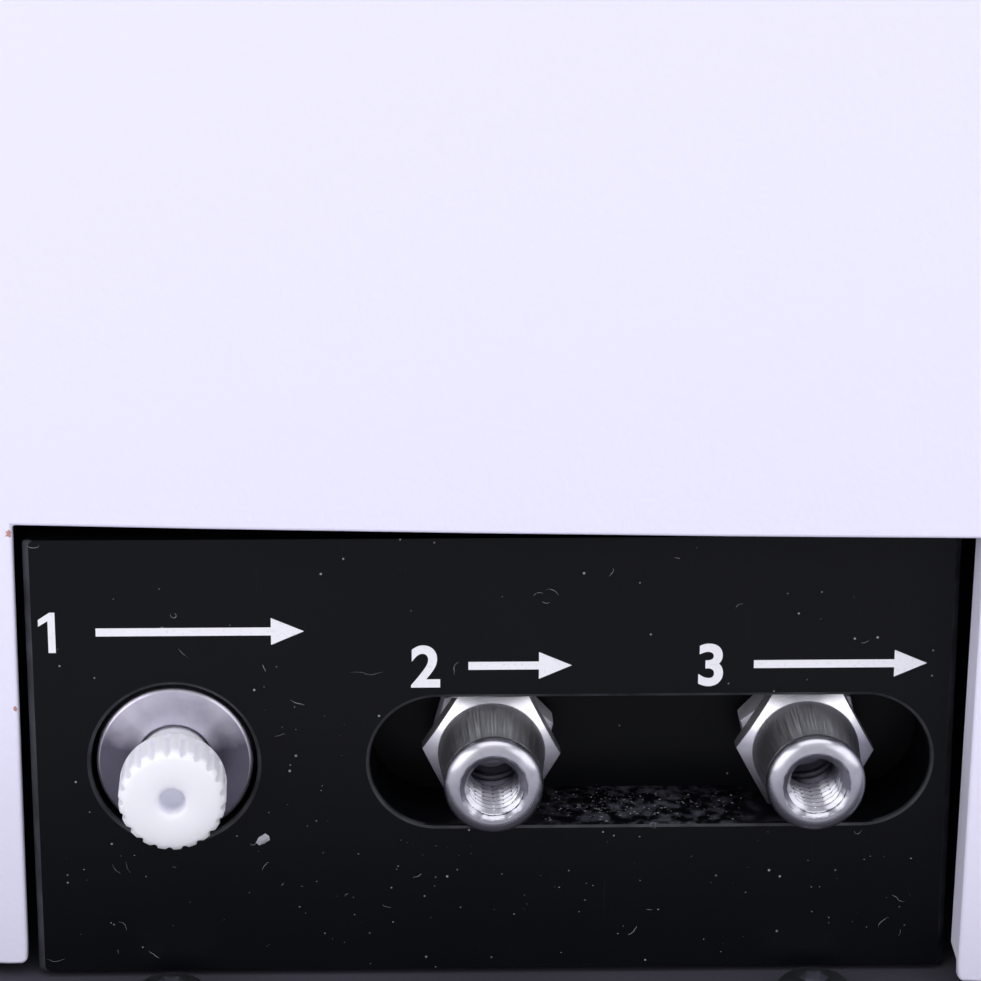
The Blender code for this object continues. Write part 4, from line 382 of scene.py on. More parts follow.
def eased(points, ease_by, steps=4):
    """Rounds the corners of a closed profile by about a radius."""
    out = []
    for i, point in enumerate(points):
        corner = Vector(point)
        before, after = Vector(points[i - 1]) - corner, Vector(points[(i + 1) % len(points)]) - corner
        reach = min(ease_by, before.length * 0.45, after.length * 0.45)
        start, end = corner + before.normalized() * reach, corner + after.normalized() * reach
        for k in range(steps + 1):
            t = k / steps
            out.append(tuple(start * (1 - t) ** 2 + corner * 2 * t * (1 - t) + end * t * t))
    return out


def angle_of(shader, across, up):
    """The angle of a point about the axis, from one of its coordinates towards another."""
    split = add(shader, "SeparateXYZ", {"Vector": place_of(shader)})
    return add(shader, "Math", {0: split.outputs[across], 1: split.outputs[up]}, operation="ARCTAN2")


def radius_of(shader):
    """The distance of a point from the axis."""
    split = add(shader, "SeparateXYZ", {"Vector": place_of(shader)})
    flat = add(shader, "CombineXYZ", {"X": split.outputs["X"], "Y": split.outputs["Y"]})
    return add(shader, "VectorMath", {0: flat}, operation="LENGTH")


def turned_metal(name, colour, roughness, ring_pitch, depth):
    """Steel from the lathe: rings about the part's axis, and a gloss that spreads across them."""
    made, shader = material(name, "stainless_steel", colour, Metallic=1.0, Roughness=roughness,
                            Anisotropic=0.75, Anisotropic_Rotation=0.25)
    feed(shader, {"Tangent": add(shader, "Tangent", direction_type="RADIAL", axis="Z")})
    height = add(shader, "SeparateXYZ", {"Vector": place_of(shader)}).outputs["Z"]
    wound = add(shader, "CombineXYZ", {"X": radius_of(shader), "Y": height, "Z": angle_of(shader, "Y", "X")})
    fine = 1 / (ring_pitch * MM)
    rings = add(shader, "VectorMath", {0: wound, 1: (fine, fine, 1)}, operation="MULTIPLY")
    marks = add(shader, "TexNoise", {"Vector": rings, "Scale": 1.0, "Detail": 4.0})
    raised(shader, marks, depth, 0.6)
    return made, shader, mottled(shader, 1.6, 6, span=(0.45, 0.75, 0.5))


faced_steel, shader, stain = turned_metal("faced_stainless_steel", "D2CEDC", 0.3, 0.12, 0.01)
tinted(shader, stain, "D6D2E0", "B0A8C0")
# To either side of the top the face is painted darker in mottled purplish sectors: painted shade that stands
# in for the dark side sectors of the reflection.
aside = add(shader, "Math", {0: angle_of(shader, "X", "Y")}, operation="ABSOLUTE")
mottle = mottled(shader, 1.1, 5)
uneven = add(shader, "Math", {0: mottle, 1: 0.22, 2: aside}, operation="MULTIPLY_ADD")
painted_side_shade = add(shader, "MapRange", {"Value": uneven, "From Min": 0.85, "From Max": 1.45})
inside = add(shader, "MapRange", {"Value": radius_of(shader), "From Min": 5.95 * MM, "From Max": 6.05 * MM,
                                  "To Min": 0.92, "To Max": 0.0})
painted_side_shade = add(shader, "Math", {0: painted_side_shade, 1: inside}, operation="MULTIPLY")
tinted(shader, painted_side_shade, "4E4A5A")
COUPLING_FACE, COUPLING_LENGTH = -0.4, 18
coupling = [(3.1, -COUPLING_LENGTH), (3.1, COUPLING_FACE - 0.15), (3.28, COUPLING_FACE), (6.0, COUPLING_FACE),
            (6.25, COUPLING_FACE - 0.2), (6.25, -COUPLING_LENGTH)]
piece("solvent_coupling_body", turned("coupling", eased(coupling, 0.08)), faced_steel,
      stands_for=["solvent_coupling"], matrix=PORTS @ shift(-PORT_SPACING), smooth=20)


# The finger-tight nut is moulded in white polypropylene, a little waxy and translucent, with 21
# round-bottomed grooves for the fingers. A ferrule in front of its thread seals on the tube.
waxy, shader = material("moulded_polypropylene_white", "white_polymer", "F1F1FF", Roughness=0.34, IOR=1.49,
                        Subsurface_Weight=0.85, Subsurface_Scale=2.5 * MM,
                        Subsurface_Radius=(1.0, 1.0, 0.85))
mottled(shader, 0.5, 3, depth=0.015, strength=0.4)
GROOVES, FINENESS = 21, 16
RIM, GROOVE_DEPTH, GROOVE_HALF, GROOVE_FOOT = 4.2, 0.42, 0.31, 4.5
nut_profile = [(2.6, -7.9), (2.82, -0.8), (2.95, -0.1), (2.95, 3.55), (3.05, 3.68), (3.75, 3.7), (4.02, 3.76),
               (4.16, 3.9), (RIM, 4.05), (RIM, 7.3), (4.17, 7.52), (4.08, 7.74), (3.92, 7.93), (3.7, 8.06),
               (3.4, 8.1), (1.5, 8.1), (1.3, 8.07), (1.14, 7.97), (1.08, 7.8), (1.06, 6.2), (0.9, 6.05)]
rows = []
for (r, z), (r_next, z_next) in zip(nut_profile, nut_profile[1:] + [(0.05, 6.0)]):
    steps = 36 if z_next - z > 3 and r > 4 else 3 if r > 3.5 else 1
    for k in range(steps):
        radius, height = r + (r_next - r) * k / steps, z + (z_next - z) * k / steps
        row = []
        for j in range(GROOVES * FINENESS):
            across = ((j % FINENESS) / FINENESS - 0.5) * 2 * pi * RIM / GROOVES
            off = hypot(across, max(0.0, GROOVE_FOOT - height)) / GROOVE_HALF
            floor_radius = RIM - GROOVE_DEPTH * sqrt(1 - off * off) if off < 1 else RIM
            row.append((min(radius, floor_radius), height))
        rows.append(row)
# The nut leans a little in its thread, as one tightened by hand on a stiff tube does.
lean = shift(-PORT_SPACING, 0, COUPLING_FACE) @ Matrix.Rotation(radians(2.5), 4, "Y")
piece("solvent_nut_moulding", skinned("nut", around(rows, turns_of(GROOVES * FINENESS))), waxy, "nut",
      ["solvent_nut"], PORTS @ lean @ shift(0, 0, -COUPLING_FACE), 50)
refined("solvent_ferrule_cone", "solvent_ferrule", waxy, 0.1)


# The two unions are turned from stainless hexagon bar. The barrel narrows to a neck and ends in a bead round
# a threaded bore, and a cone takes the hexagon's corners off. A jam nut behind each holds it in the pocket.
def painted_shade_below(shader, low, high, share, tone):
    """Lays a tone as painted shade: its full share below a low height, and none above a high one."""
    level = add(shader, "SeparateXYZ", {"Vector": place_of(shader)}).outputs["Y"]
    under = add(shader, "MapRange", {"Value": level, "From Min": low * MM, "From Max": high * MM,
                                     "To Min": share, "To Max": 0.0})
    tinted(shader, under, tone)


barrel_steel, shader, stain = turned_metal("turned_stainless_steel", "BFBEC8", 0.25, 0.1, 0.016)
tinted(shader, stain, "BFBEC8", "85828F")
# The bead and stem are painted darker on their lower side: painted shade.
painted_shade_below(shader, -1, 2, 0.5, "7A7883")
# The barrel's taper is polished along its length, which leaves streaks that scatter the light.
streaked, shader = material("long_polished_stainless_steel", "stainless_steel", "D4D4DC", Metallic=1.0,
                            Roughness=0.5, Anisotropic=0.6)
height = add(shader, "SeparateXYZ", {"Vector": place_of(shader)}).outputs["Z"]
along = add(shader, "Math", {0: height, 1: 1 / (6 * MM)}, operation="MULTIPLY")
about = add(shader, "Math", {0: angle_of(shader, "Y", "X"), 1: 30.0}, operation="MULTIPLY")
wound = add(shader, "CombineXYZ", {"X": about, "Y": along})
streaks = add(shader, "TexNoise", {"Vector": wound, "Scale": 1.0, "Detail": 5.0})
raised(shader, streaks, 0.02, 0.7)
share = add(shader, "MapRange", {"Value": streaks, "From Min": 0.35, "From Max": 0.7, "To Min": 0.55,
                                 "To Max": 0.85})
feed(shader, {"Roughness": share})
tinted(shader, share, "CDCDD6", "F4F4FA")
# The taper is painted darker towards its flanks, away from the top: painted shade.
aside = add(shader, "Math", {0: angle_of(shader, "X", "Y")}, operation="ABSOLUTE")
painted_flank_shade = add(shader, "MapRange", {"Value": aside, "From Min": 0.25, "From Max": 1.0, "To Max": 0.8})
tinted(shader, painted_flank_shade, "4C4C57")
# The hexagon is faced more coarsely, and its steel is painted paler than the rest: painted light; the tapped
# bore is glossier and painted a little darker: painted shade in its thread.
lit_hexagon_steel, shader, stain = turned_metal("faced_hexagon_bar_painted_light", "F6F5FC", 0.3, 0.12, 0.012)
tinted(shader, stain, "F6F5FC", "CFCDD8")
# The hexagon's lower side is painted darker: painted shade.
painted_shade_below(shader, 0.5, 2.2, 0.7, "8E8C98")
tapped, shader, stain = turned_metal("tapped_stainless_steel_painted_shade", "B5B4BE", 0.2, 0.3, 0.006)
tinted(shader, stain, "B5B4BE", "83818D")
nut_steel, shader, stain = turned_metal("oiled_stainless_steel", "C0BFC9", 0.55, 0.2, 0.015)
tinted(shader, stain, "C0BFC9", "8B8894")
SIDES, FLATS, JAM_FLATS = 144, 9.7, 9.2
THREAD_PITCH, THREAD_MINOR, THREAD_MAJOR, THREAD_LENGTH, THREAD_STEPS = 25.4 / 32, 2.0, 2.41, 6.3, 16
BORE_MOUTH = 5.83


def hexagonal(flats, turn, angle):
    """The distance from the axis to a hexagon's side at an angle, a corner lying at the turn."""
    return flats / 2 / cos((angle - turn) % (pi / 3) - pi / 6)


def union_rings(turn):
    """The rings of a union from its stem's end over the hexagon and barrel into the threaded bore."""
    stem, corner, land, face, back = 3.4, FLATS / 2 / cos(pi / 6), 4.38, -1.75, -3.95
    turns = turns_of(SIDES, turn)
    walls = [hexagonal(FLATS, turn, a) for a in turns]
    crests = [face - 0.6 * (w - land) / (corner - land) for w in walls]
    rows = [(stem, -17.0), (stem, back), [(w - 0.12, back) for w in walls], [(w, back + 0.12) for w in walls],
            [(w, c - 0.05) for w, c in zip(walls, crests)],
            [(w - 0.04, c + 0.01) for w, c in zip(walls, crests)],
            (land + 0.02, face - 0.02), (land - 0.02, face), (4.34, face), (4.3, face + 0.05)]
    rows += [(4.3 - 0.62 * (t / 6) ** 1.3, face + 0.05 + 5.75 * t / 6) for t in range(1, 7)]
    rows += [(3.7, 4.15), (3.76, 4.26), (3.87, 4.36), (3.93, 4.5), (3.93, 4.85)]
    rows += [(2.83 + 1.1 * cos(t * pi / 20), 4.95 + 0.88 * sin(t * pi / 20))
             for t in range(1, 11)]
    rows += [(2.76, 5.81)]
    step = THREAD_PITCH / THREAD_STEPS
    for k in range(int(6.5 / THREAD_PITCH * THREAD_STEPS)):
        row = []
        for a in turns:
            share = a / (2 * pi)
            height = BORE_MOUTH - 0.08 - k * step + share * THREAD_PITCH % step
            phase = (height / THREAD_PITCH - share) % 1
            crest = min(1.0, max(0.0, abs(phase * 2 - 1) * 1.4 - 0.12))
            fade = min(1.0, max(0.0, (height - (BORE_MOUTH - THREAD_LENGTH)) / 0.3))
            thread = THREAD_MINOR + (THREAD_MAJOR - THREAD_MINOR) * (crest * fade + 1 - fade)
            row.append((max(thread, 2.72 - (BORE_MOUTH - height) * 0.9), height))
        rows.append(row)
    rows += [(2.45, -1.2), (2.45, -2.2), (2.3, -2.3), (2.3, -2.4), (2.45, -2.5), (2.45, -3.6), (2.0, -3.97),
             (0.5, -3.97), (0.4, -4.05), (0.4, -6.0)]
    return around(rows, turns)


def jam_rings(turn):
    """The rings of a jam nut, its hexagon eased at both ends by a cone."""
    turns = turns_of(SIDES, turn)
    walls = [hexagonal(JAM_FLATS, turn, a) for a in turns]
    low, top, hole, land = -7.65, -4.25, 3.7, 4.4
    return around([(hole, low), (land, low), [(w, low + (w - land) * 0.5) for w in walls],
                   [(w, top - (w - land) * 0.5) for w in walls], (land, top), (hole, top)], turns)


for name, x, turn, jam_turn in (("inlet", 0, -2.8, 15.5), ("outlet", 1, -1.3, 43)):
    spot = PORTS @ shift(x * PORT_SPACING)
    union = piece(name + "_union_body", skinned(name, union_rings(radians(turn))), barrel_steel,
                  stands_for=[name + "_union"], matrix=spot, smooth=24)
    for finish in (streaked, tapped, lit_hexagon_steel):
        union.data.materials.append(finish)
    for face in union.data.polygons:
        middle = face.center / MM
        reach = hypot(middle.x, middle.y)
        if reach < 2.6:
            face.material_index = 2
        elif middle.z < -1.7:
            face.material_index = 3
        else:
            face.material_index = int(middle.z < 4.1 and reach > 3.5)
    nut = piece(name + "_jam_nut_body", skinned(name, jam_rings(radians(jam_turn)), loop=True),
                nut_steel, stands_for=[name + "_jam_nut"], matrix=spot, smooth=24)
    ease(nut, 0.12, 2)


# The ports are marked in white ink, screen printed on the block: a numeral and a flow arrow over each.
# The coat is thin and matt, and the black shows through it a little where it is worn.
ink, shader = material("screen_print_white", "white_paint", "F2F1F8", Roughness=0.55, IOR=1.5)
mottled(shader, 0.3, 4, ("F2F1F8", "A9A9B4"), span=(0.55, 0.8, 0.35))
CAP_HEIGHT, INK = 3.35, 0.02


def printed(words, cap_height, weight=0.036):
    """A thin mesh of figures with their foot at the origin."""
    text = bpy.data.curves.new("figures", "FONT")
    text.body = words
    text.size = cap_height * MM / 0.7
    text.offset = cap_height * MM * weight
    text.extrude = INK * MM
    mark = placed("figures", text)
    bpy.context.view_layer.update()
    result = baked(mark)
    bpy.data.objects.remove(mark)
    return result


def ink_shape(points, bottom=0):
    """A flat shape as thick as two coats of ink."""
    return stacked("shape", (points, bottom), (points, bottom + 2 * INK))


one = ink_shape([(0.85, 0), (1.42, 0), (1.42, 3.35), (1.0, 3.35), (0.1, 2.75), (0.1, 2.2), (0.85, 2.66)])
for numeral, left, tip, base in (("1", -35.9, -14.9, 9.5), ("2", -6.5, 6.3, 6.5), ("3", 16.2, 34.6, 6.5)):
    piece("numeral_" + numeral, one if numeral == "1" else printed(numeral, CAP_HEIGHT), ink,
          matrix=PORTS @ shift(left, base, INK))
    tail, middle, half, neck = left + 4.6, base + 1.68, 0.33, tip - 2.6
    arrow = [(tail, middle - half), (neck, middle - half), (neck, middle - 3.4 * half), (tip, middle),
             (neck, middle + 3.4 * half), (neck, middle + half), (tail, middle + half)]
    piece("flow_arrow_" + numeral, ink_shape(arrow), ink, matrix=PORTS)


# Lint from wipes lies on the block: thin curled fibres of white cellulose, too light to fall off.
# They look grey against the black, because each is thinner than the eye can part.
lint_fibre, shader = material("cellulose_lint", "white_polymer", "9A9BA6", Roughness=0.8, IOR=1.5)
mottled(shader, 0.8, tones=("6E6F7A", "C6C7D0"))
draw = random.Random(7)
lint = bpy.data.curves.new("lint", "CURVE")
lint.dimensions = "3D"
lint.bevel_depth = 0.014 * MM
lint.bevel_resolution = 1
FIBRE_STEP, FIBRE_LIFT = 0.16, 0.02
# Place, heading, points and bend of the fibres that stand out, and then of some scattered ones.
caught = [(-18.2, 8.4, 5, 5, 0.0), (-11.3, 7.7, -0.45, 18, 0.02), (13.1, -5.9, 0.4, 12, 0.5),
          (-16.1, 5.4, -0.8, 9, 0.1), (4.2, 14.5, 0.9, 9, -0.3), (4.0, 14.2, 2.6, 7, 0.4),
          (9.2, 15.6, 0.9, 6, 0.3), (-2.6, 4.9, 0.6, 11, 0.5), (-3.0, 7.4, 2.0, 9, -0.4),
          (-30.6, -8.6, 4.9, 8, 0.2), (29.3, 9.9, 0.2, 6, 0.1), (29.3, -6.2, 4.4, 7, 0.4),
          (-27.9, -16.3, 5.6, 8, 0.3), (-36.4, 18.4, 5.2, 8, 0.3), (-36.2, -16.9, 5.6, 11, 0.12)]
for _ in range(46):
    x, y = draw.uniform(-34, 35), draw.uniform(-16.5, 17.5)
    on_ports = abs(y) < 6.5 and -10.5 < x < 36 or hypot(x + PORT_SPACING, y) < 8
    if on_ports or y > 5 and draw.random() < 0.6:
        continue
    caught.append((x, y, draw.uniform(0, 6.28), draw.randint(3, 9), draw.gauss(0, 0.3)))
for x, y, heading, count, bend in caught:
    spline = lint.splines.new("POLY")
    spline.points.add(count - 1)
    thick = draw.uniform(0.5, 1.7)
    for k, point in enumerate(spline.points):
        point.co = (x * MM, y * MM, FIBRE_LIFT * MM, 1)
        point.radius = thick * draw.uniform(0.5, 1.1) * sin(pi * (k + 0.6) / (count + 0.2))
        heading += bend + draw.gauss(0, 0.25)
        x, y = x + FIBRE_STEP * cos(heading), y + FIBRE_STEP * sin(heading)
lint.materials.append(lint_fibre)
lint_piece = placed("lint_fibres", lint)
lint_piece.matrix_world = PORTS
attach(lint_piece, "root")


# Crumbs of dust and dried salt lie on the pocket's floor and here and there on the block, with one larger
# fleck: off-white and ragged, they catch the light on one side.
crumb, shader = material("dried_salt_crumb", "white_polymer", "A6A7B2", Roughness=0.7, IOR=1.5)
mottled(shader, 0.5, tones=("5E5F69", "DADBE4"))


def flake(x, y, z, size, across, up):
    """A small ragged flake that lies across two directions."""
    centre, across, up = Vector((x, y, z)), Vector(across), Vector(up)
    off = across.cross(up)
    rings = []
    for level, share in ((0, 0.8), (0.12, 1.0), (0.25, 0.5)):
        ring = []
        for turn in turns_of(7):
            reach = size * share * draw.uniform(0.55, 1.1)
            ring.append(centre + across * cos(turn) * reach * 1.3 + up * sin(turn) * reach * 0.8
                        + off * level * size)
        rings.append(ring)
    return skinned("crumb", rings)


def joined(name, meshes):
    """One mesh of several."""
    form = bmesh.new()
    for mesh in meshes:
        form.from_mesh(mesh)
    result = bpy.data.meshes.new(name)
    form.to_mesh(result)
    form.free()
    return result


POCKET_FLOOR = -5.45
flakes = []
for _ in range(620):
    if draw.random() < 0.75:
        x, depth = draw.triangular(3.5, 22, 9), -draw.triangular(0.4, 7.8, 3)
        size = 0.015 + 0.09 * draw.random() ** 3
        flakes.append(flake(x, POCKET_FLOOR, depth, size, (1, 0, 0), (0, 0, -1)))
    else:
        x, y, size = draw.uniform(-34, 35), draw.uniform(-17, 5), draw.uniform(0.015, 0.06)
        if abs(y) < 6.2 and -10 < x < 36 or hypot(x + PORT_SPACING, y) < 7.2:
            continue
        flakes.append(flake(x, y, 0, size, (1, 0, 0), (0, 1, 0)))
flakes.append(flake(-18.4, -6.6, 0, 0.55, (0.8, 0.6, 0), (-0.6, 0.8, 0)))
piece("dust_crumbs", joined("crumbs", flakes), crumb, matrix=PORTS, smooth=60)


# Two screws with domed heads and a hexagon socket hold the port bracket down on the ledge.
# They are cold headed from steel and zinc plated, and the plating has dulled in spots.
plated, shader = material("zinc_plated_screw", "zinc_plate", "8E8F99", Metallic=1.0, Roughness=0.34)
mottled(shader, 0.7, 5, ("7B7C86", "A9AAB4"), 0.02, 0.4)
DOME, SOCKET_FLATS, SOCKET_DEPTH = 1.1, 2.0, 0.9
for side in ("left", "right"):
    low, high = (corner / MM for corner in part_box("ledge_screw_" + side))
    reach, crown = (high.x - low.x) / 2, high.z - DOME
    rows = [(2.0, low.z), (2.0, crown - 0.15), (reach - 0.05, crown - 0.1), (reach, crown)]
    rows += [(1.2 + (reach - 1.2) * cos(t * pi / 16), crown + DOME * sin(t * pi / 16))
             for t in range(1, 8)] + [(1.25, high.z)]
    turns = turns_of(48)
    rows += [[(hexagonal(SOCKET_FLATS, 0, a), high.z - deep) for a in turns] for deep in (0.06, SOCKET_DEPTH)]
    piece("ledge_screw_head_" + side, skinned("screw", around(rows, turns)), plated,
          stands_for=["ledge_screw_" + side],
          matrix=shift((low.x + high.x) / 2, (low.y + high.y) / 2), smooth=40)


# The cover is sheet steel folded over the sides and top and bowed gently in front, with a notch cut for the
# ports. It is sprayed white with a trace of lilac: a semi-gloss coat with fine orange peel and chipped edges.
white_coat, shader = material("sprayed_steel_white", "white_paint", "ECEAFE", Roughness=0.38, IOR=1.5)
mottled(shader, 0.7, depth=0.05, strength=0.8)
ragged = add(shader, "MapRange", {"Value": mottled(shader, 0.4, 5), "To Min": 0.4 * MM,
                                  "To Max": 1.6 * MM})
for x, y, size in ((-37.8, 19.3, 0.2), (-37.8, 4.8, 0.12), (37.6, -17.6, 0.4)):
    spot = PORTS @ Vector((x * MM, y * MM, 0))
    away = add(shader, "VectorMath", {0: place_of(shader), 1: tuple(spot)}, operation="DISTANCE")
    rim = add(shader, "Math", {0: ragged, 1: away}, operation="SUBTRACT")
    chip = add(shader, "MapRange", {"Value": rim, "From Min": (0.9 - size) * MM,
                                    "From Max": (1.0 - size) * MM, "To Max": 0.85})
    tinted(shader, chip, "ECEAFE", "B4704E")
sheet = refined("cover_sheet", "cover", white_coat, 0.3, 3, 20)
# The notch is cut by hand tools: its sides lean a little outwards, and its lower corners are nearly square.
FILLET, NOTCH_TOP, NOTCH_BOTTOM, SQUARENESS = 1.6, 20.0, -17.5, 0.35
for vertex in sheet.data.vertices:
    spot = PORTS.inverted() @ vertex.co / MM
    if spot.z < -12 or spot.y > NOTCH_TOP + 0.5 or not 36 < abs(spot.x) < 41:
        continue
    side, edge, top_shift, low_shift = (1, 36.9, 1.0, 0.5) if spot.x > 0 else (-1, 37.4, 0.16, 0.36)
    across = (edge + FILLET - abs(spot.x)) / FILLET
    below = (NOTCH_BOTTOM + FILLET - spot.y) / FILLET
    if min(across, below) > 0.02 and abs(hypot(across, below) - 1) < 0.1:
        turn = atan2(below, across)
        spot.x = side * (edge + FILLET - FILLET * cos(turn) ** SQUARENESS)
        spot.y = NOTCH_BOTTOM + FILLET - FILLET * sin(turn) ** SQUARENESS
    low_share = (NOTCH_TOP - spot.y) / (NOTCH_TOP - NOTCH_BOTTOM)
    spot.x += side * (top_shift + (low_shift - top_shift) * low_share)
    vertex.co = PORTS @ (spot * MM)
refined("door_frame_panel", "door_frame", white_coat, 0.5, 3, 20)


# The door's window is cast acrylic, smoked, and bent to the bow; the pull is moulded ABS with a fine spark
# texture. Two steel pins carry the door at its left edge.
smoked, shader = material("cast_acrylic_smoked", "smoked_acrylic", "CDD0D5", Roughness=0.04, IOR=1.49,
                          Transmission_Weight=0.92)
mottled(shader, 30, depth=0.05, strength=0.1)
refined("door_window_pane", "door_window", smoked, 0.15)
moulded_black, shader = material("moulded_abs_black", "black_plastic", "19191B", Roughness=0.5, IOR=1.53)
mottled(shader, 0.4, depth=0.03, strength=0.4)
mottled(shader, 9, 4, ("161618", "222225"))
refined("door_pull_grip", "door_pull", moulded_black, 0.9, 4)
for end in ("lower", "upper"):
    refined("hinge_pin_rod_" + end, "hinge_pin_" + end, barrel_steel, 0.15, smooth=50)


# The sample chamber is one box moulded in grey ABS, open to the front, where vials are kept out of the light.
# Its skin has a fine spark texture, and its grey varies a little where the plastic flowed.
moulded_grey, shader = material("moulded_abs_grey", "grey_plastic", "8B8E96", Roughness=0.48, IOR=1.53)
mottled(shader, 0.5, depth=0.04, strength=0.4)
mottled(shader, 25, 3, ("868992", "93969E"))
refined("chamber_moulding", "sample_chamber", moulded_grey, 0.5)


# The carousel is a moulded disc with a grip knob and two rings of sockets, numbered in white. Each socket
# holds an empty glass vial under a ribbed polypropylene cap with a soft pre-cut septum for the needle.
low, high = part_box("carousel")
SPIN = Matrix.Translation(((low.x + high.x) / 2, (low.y + high.y) / 2, low.z))
SOCKETS = [(72, a) for a in turns_of(16)] + [(48, a) for a in turns_of(8)]
DISC_TOP = 15
spots = [shift(r * cos(a), r * sin(a)) for r, a in SOCKETS]


def repeated(name, mesh, spots):
    """One mesh with a copy of a mesh at each matrix."""
    copies = []
    for spot in spots:
        copies.append(mesh.copy())
        copies[-1].transform(spot)
    return joined(name, copies)


disc = turned("disc", [(0.01, 0), (83.4, 0), (84, 0.6), (84, 13.6), (83.6, 14.6), (82.6, DISC_TOP),
                       (30, DISC_TOP), (29, 14.6), (21, 14.6), (20, DISC_TOP), (17.5, 15.2), (14, 17.2),
                       (11.4, 21), (9.8, 26), (8.6, 31), (8.2, 35), (8.8, 38.5), (9.8, 41), (10, 43),
                       (9.2, 44.6), (7.4, 45), (0.01, 45)], 128, loop=False)
socket = turned("socket", [(0.01, 3), (6.0, 3), (6.0, 14.4), (6.7, 15.1), (6.7, 20), (0.01, 20)], 32,
                loop=False)
piece("carousel_disc", cut(disc, repeated("sockets", socket, spots)), moulded_grey, "carousel", ["carousel"],
      SPIN, 28)
glass, shader = material("borosilicate_glass", "clear_glass", "F4F8FA", Roughness=0.02, IOR=1.47,
                         Transmission_Weight=1.0)
mottled(shader, 8, depth=0.02, strength=0.1)
vial = turned("vial", [(0.01, 3.1), (5.4, 3.1), (5.8, 3.6), (5.8, 24.5), (5.2, 26.6), (4.3, 27.6), (4.2, 29),
                       (4.6, 29.4), (4.6, 29.95), (3.3, 29.95), (3.2, 27.4), (4.6, 25.2), (4.9, 24), (4.9, 5),
                       (4.4, 4.2), (0.01, 4.1)], 32, loop=False)
piece("sample_vials", repeated("vials", vial, spots), glass, "carousel", matrix=SPIN)
blue_cap, shader = material("moulded_polypropylene_blue", "white_polymer", "2F5F96", Roughness=0.4, IOR=1.49)
mottled(shader, 2, 4, ("2B588C", "3768A0"), 0.02, 0.3)
CAP_SIDES, RIB = 96, 0.16
cap_profile = [(4.7, 30.0, 0), (5.3, 30.0, 0), (5.45, 30.3, 1), (5.45, 35.2, 1), (5.2, 35.8, 0),
               (4.8, 36.0, 0), (2.9, 36.0, 0), (2.8, 35.7, 0), (2.8, 34.9, 0), (4.6, 34.8, 0)]
rows = [[(r - ribbed * RIB * (j % 4 > 1), z) for j in range(CAP_SIDES)] for r, z, ribbed in cap_profile]
cap = skinned("cap", around(rows, turns_of(CAP_SIDES)), loop=True)
piece("vial_caps", repeated("caps", cap, spots), blue_cap, "carousel", matrix=SPIN, smooth=40)
septum, shader = material("silicone_septum", "rubber", "C9574A", Roughness=0.6, IOR=1.41)
mottled(shader, 1, 4, ("BF5044", "D36154"))
seal = turned("septum", [(1.5, 34.2), (2.7, 34.2), (2.7, 35.1), (1.7, 35.25), (1.5, 35.0)], 24)
piece("vial_septa", repeated("septa", seal, spots), septum, "carousel", matrix=SPIN)
figures = []
for k, (r, a) in enumerate(SOCKETS):
    at_socket = Matrix.Rotation(a - pi / 2, 4, "Z") @ shift(-1.2, r - 11.5, DISC_TOP + INK)
    figures.append(repeated("figure", printed(str(k + 1), 3), [at_socket]))
piece("socket_figures", joined("socket_figures", figures), ink, "carousel", matrix=SPIN)
refined("carousel_shaft_rod", "carousel_shaft", barrel_steel, 0.3, smooth=40)


# The needle drive's carriages ride on ground rods of hard chromed steel, and rolled screws move them: a long
# one across the chamber and a short upright one on the black anodised carriage.
ground, shader = material("ground_chromed_steel", "stainless_steel", "C8CAD0", Metallic=1.0, Roughness=0.16)
hone = mottled(shader, 1.2, 5, depth=0.004, strength=0.4)
film = add(shader, "MapRange", {"Value": hone, "To Min": 0.12, "To Max": 0.24})
feed(shader, {"Roughness": film})
ROD_CHAMFER, PLAIN_END, ROWS_A_TURN = 0.4, 8, 8


def shaft(name, node, along, pitch=0, depth=0, sides=32):
    """Stands for a straight round rod or screw, its ends chamfered, with a rolled thread where it has one."""
    low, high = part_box(node)
    half = (high - low)["XYZ".index(along)] / 2 / MM
    radius = (high - low)["XYZ".index("Z" if along == "X" else "X")] / 2 / MM
    count = int(2 * (half - PLAIN_END) / pitch * ROWS_A_TURN) if pitch else 0
    heights = [PLAIN_END - half + k * pitch / ROWS_A_TURN for k in range(count)]
    rows = [(radius - ROD_CHAMFER, -half), (radius, ROD_CHAMFER - half)]
    for height in heights:
        row = []
        for j in range(sides):
            wave = abs(((height / pitch - j / sides) % 1) * 2 - 1)
            row.append((radius - depth * wave, height))
        rows.append(row)
    rows += [(radius, half - ROD_CHAMFER), (radius - ROD_CHAMFER, half)]
    turned_to = Matrix.Rotation(pi / 2, 4, "Y") if along == "X" else Matrix.Identity(4)
    piece(name, skinned(name, around(rows, turns_of(sides))), ground,
          body_of(frame["nodes"][node])[0], [node], Matrix.Translation((low + high) / 2) @ turned_to, 40)


for end in ("lower", "upper"):
    shaft("cross_rod_ground_" + end, "cross_rod_" + end, "X")
shaft("cross_screw_rolled", "cross_screw", "X", 2.5, 0.45, 20)
shaft("lift_rod_ground", "lift_rod", "Z")
shaft("lift_screw_rolled", "lift_screw", "Z", 1.25, 0.3, 20)
refined("cross_carriage_frame", "cross_carriage", anodised, 0.5)
refined("lift_carriage_block", "lift_carriage", waxy, 0.5)
refined("needle_tube", "needle", barrel_steel, 0, smooth=60)
refined("needle_station_posts", "needle_station", barrel_steel, 0.25, smooth=40)


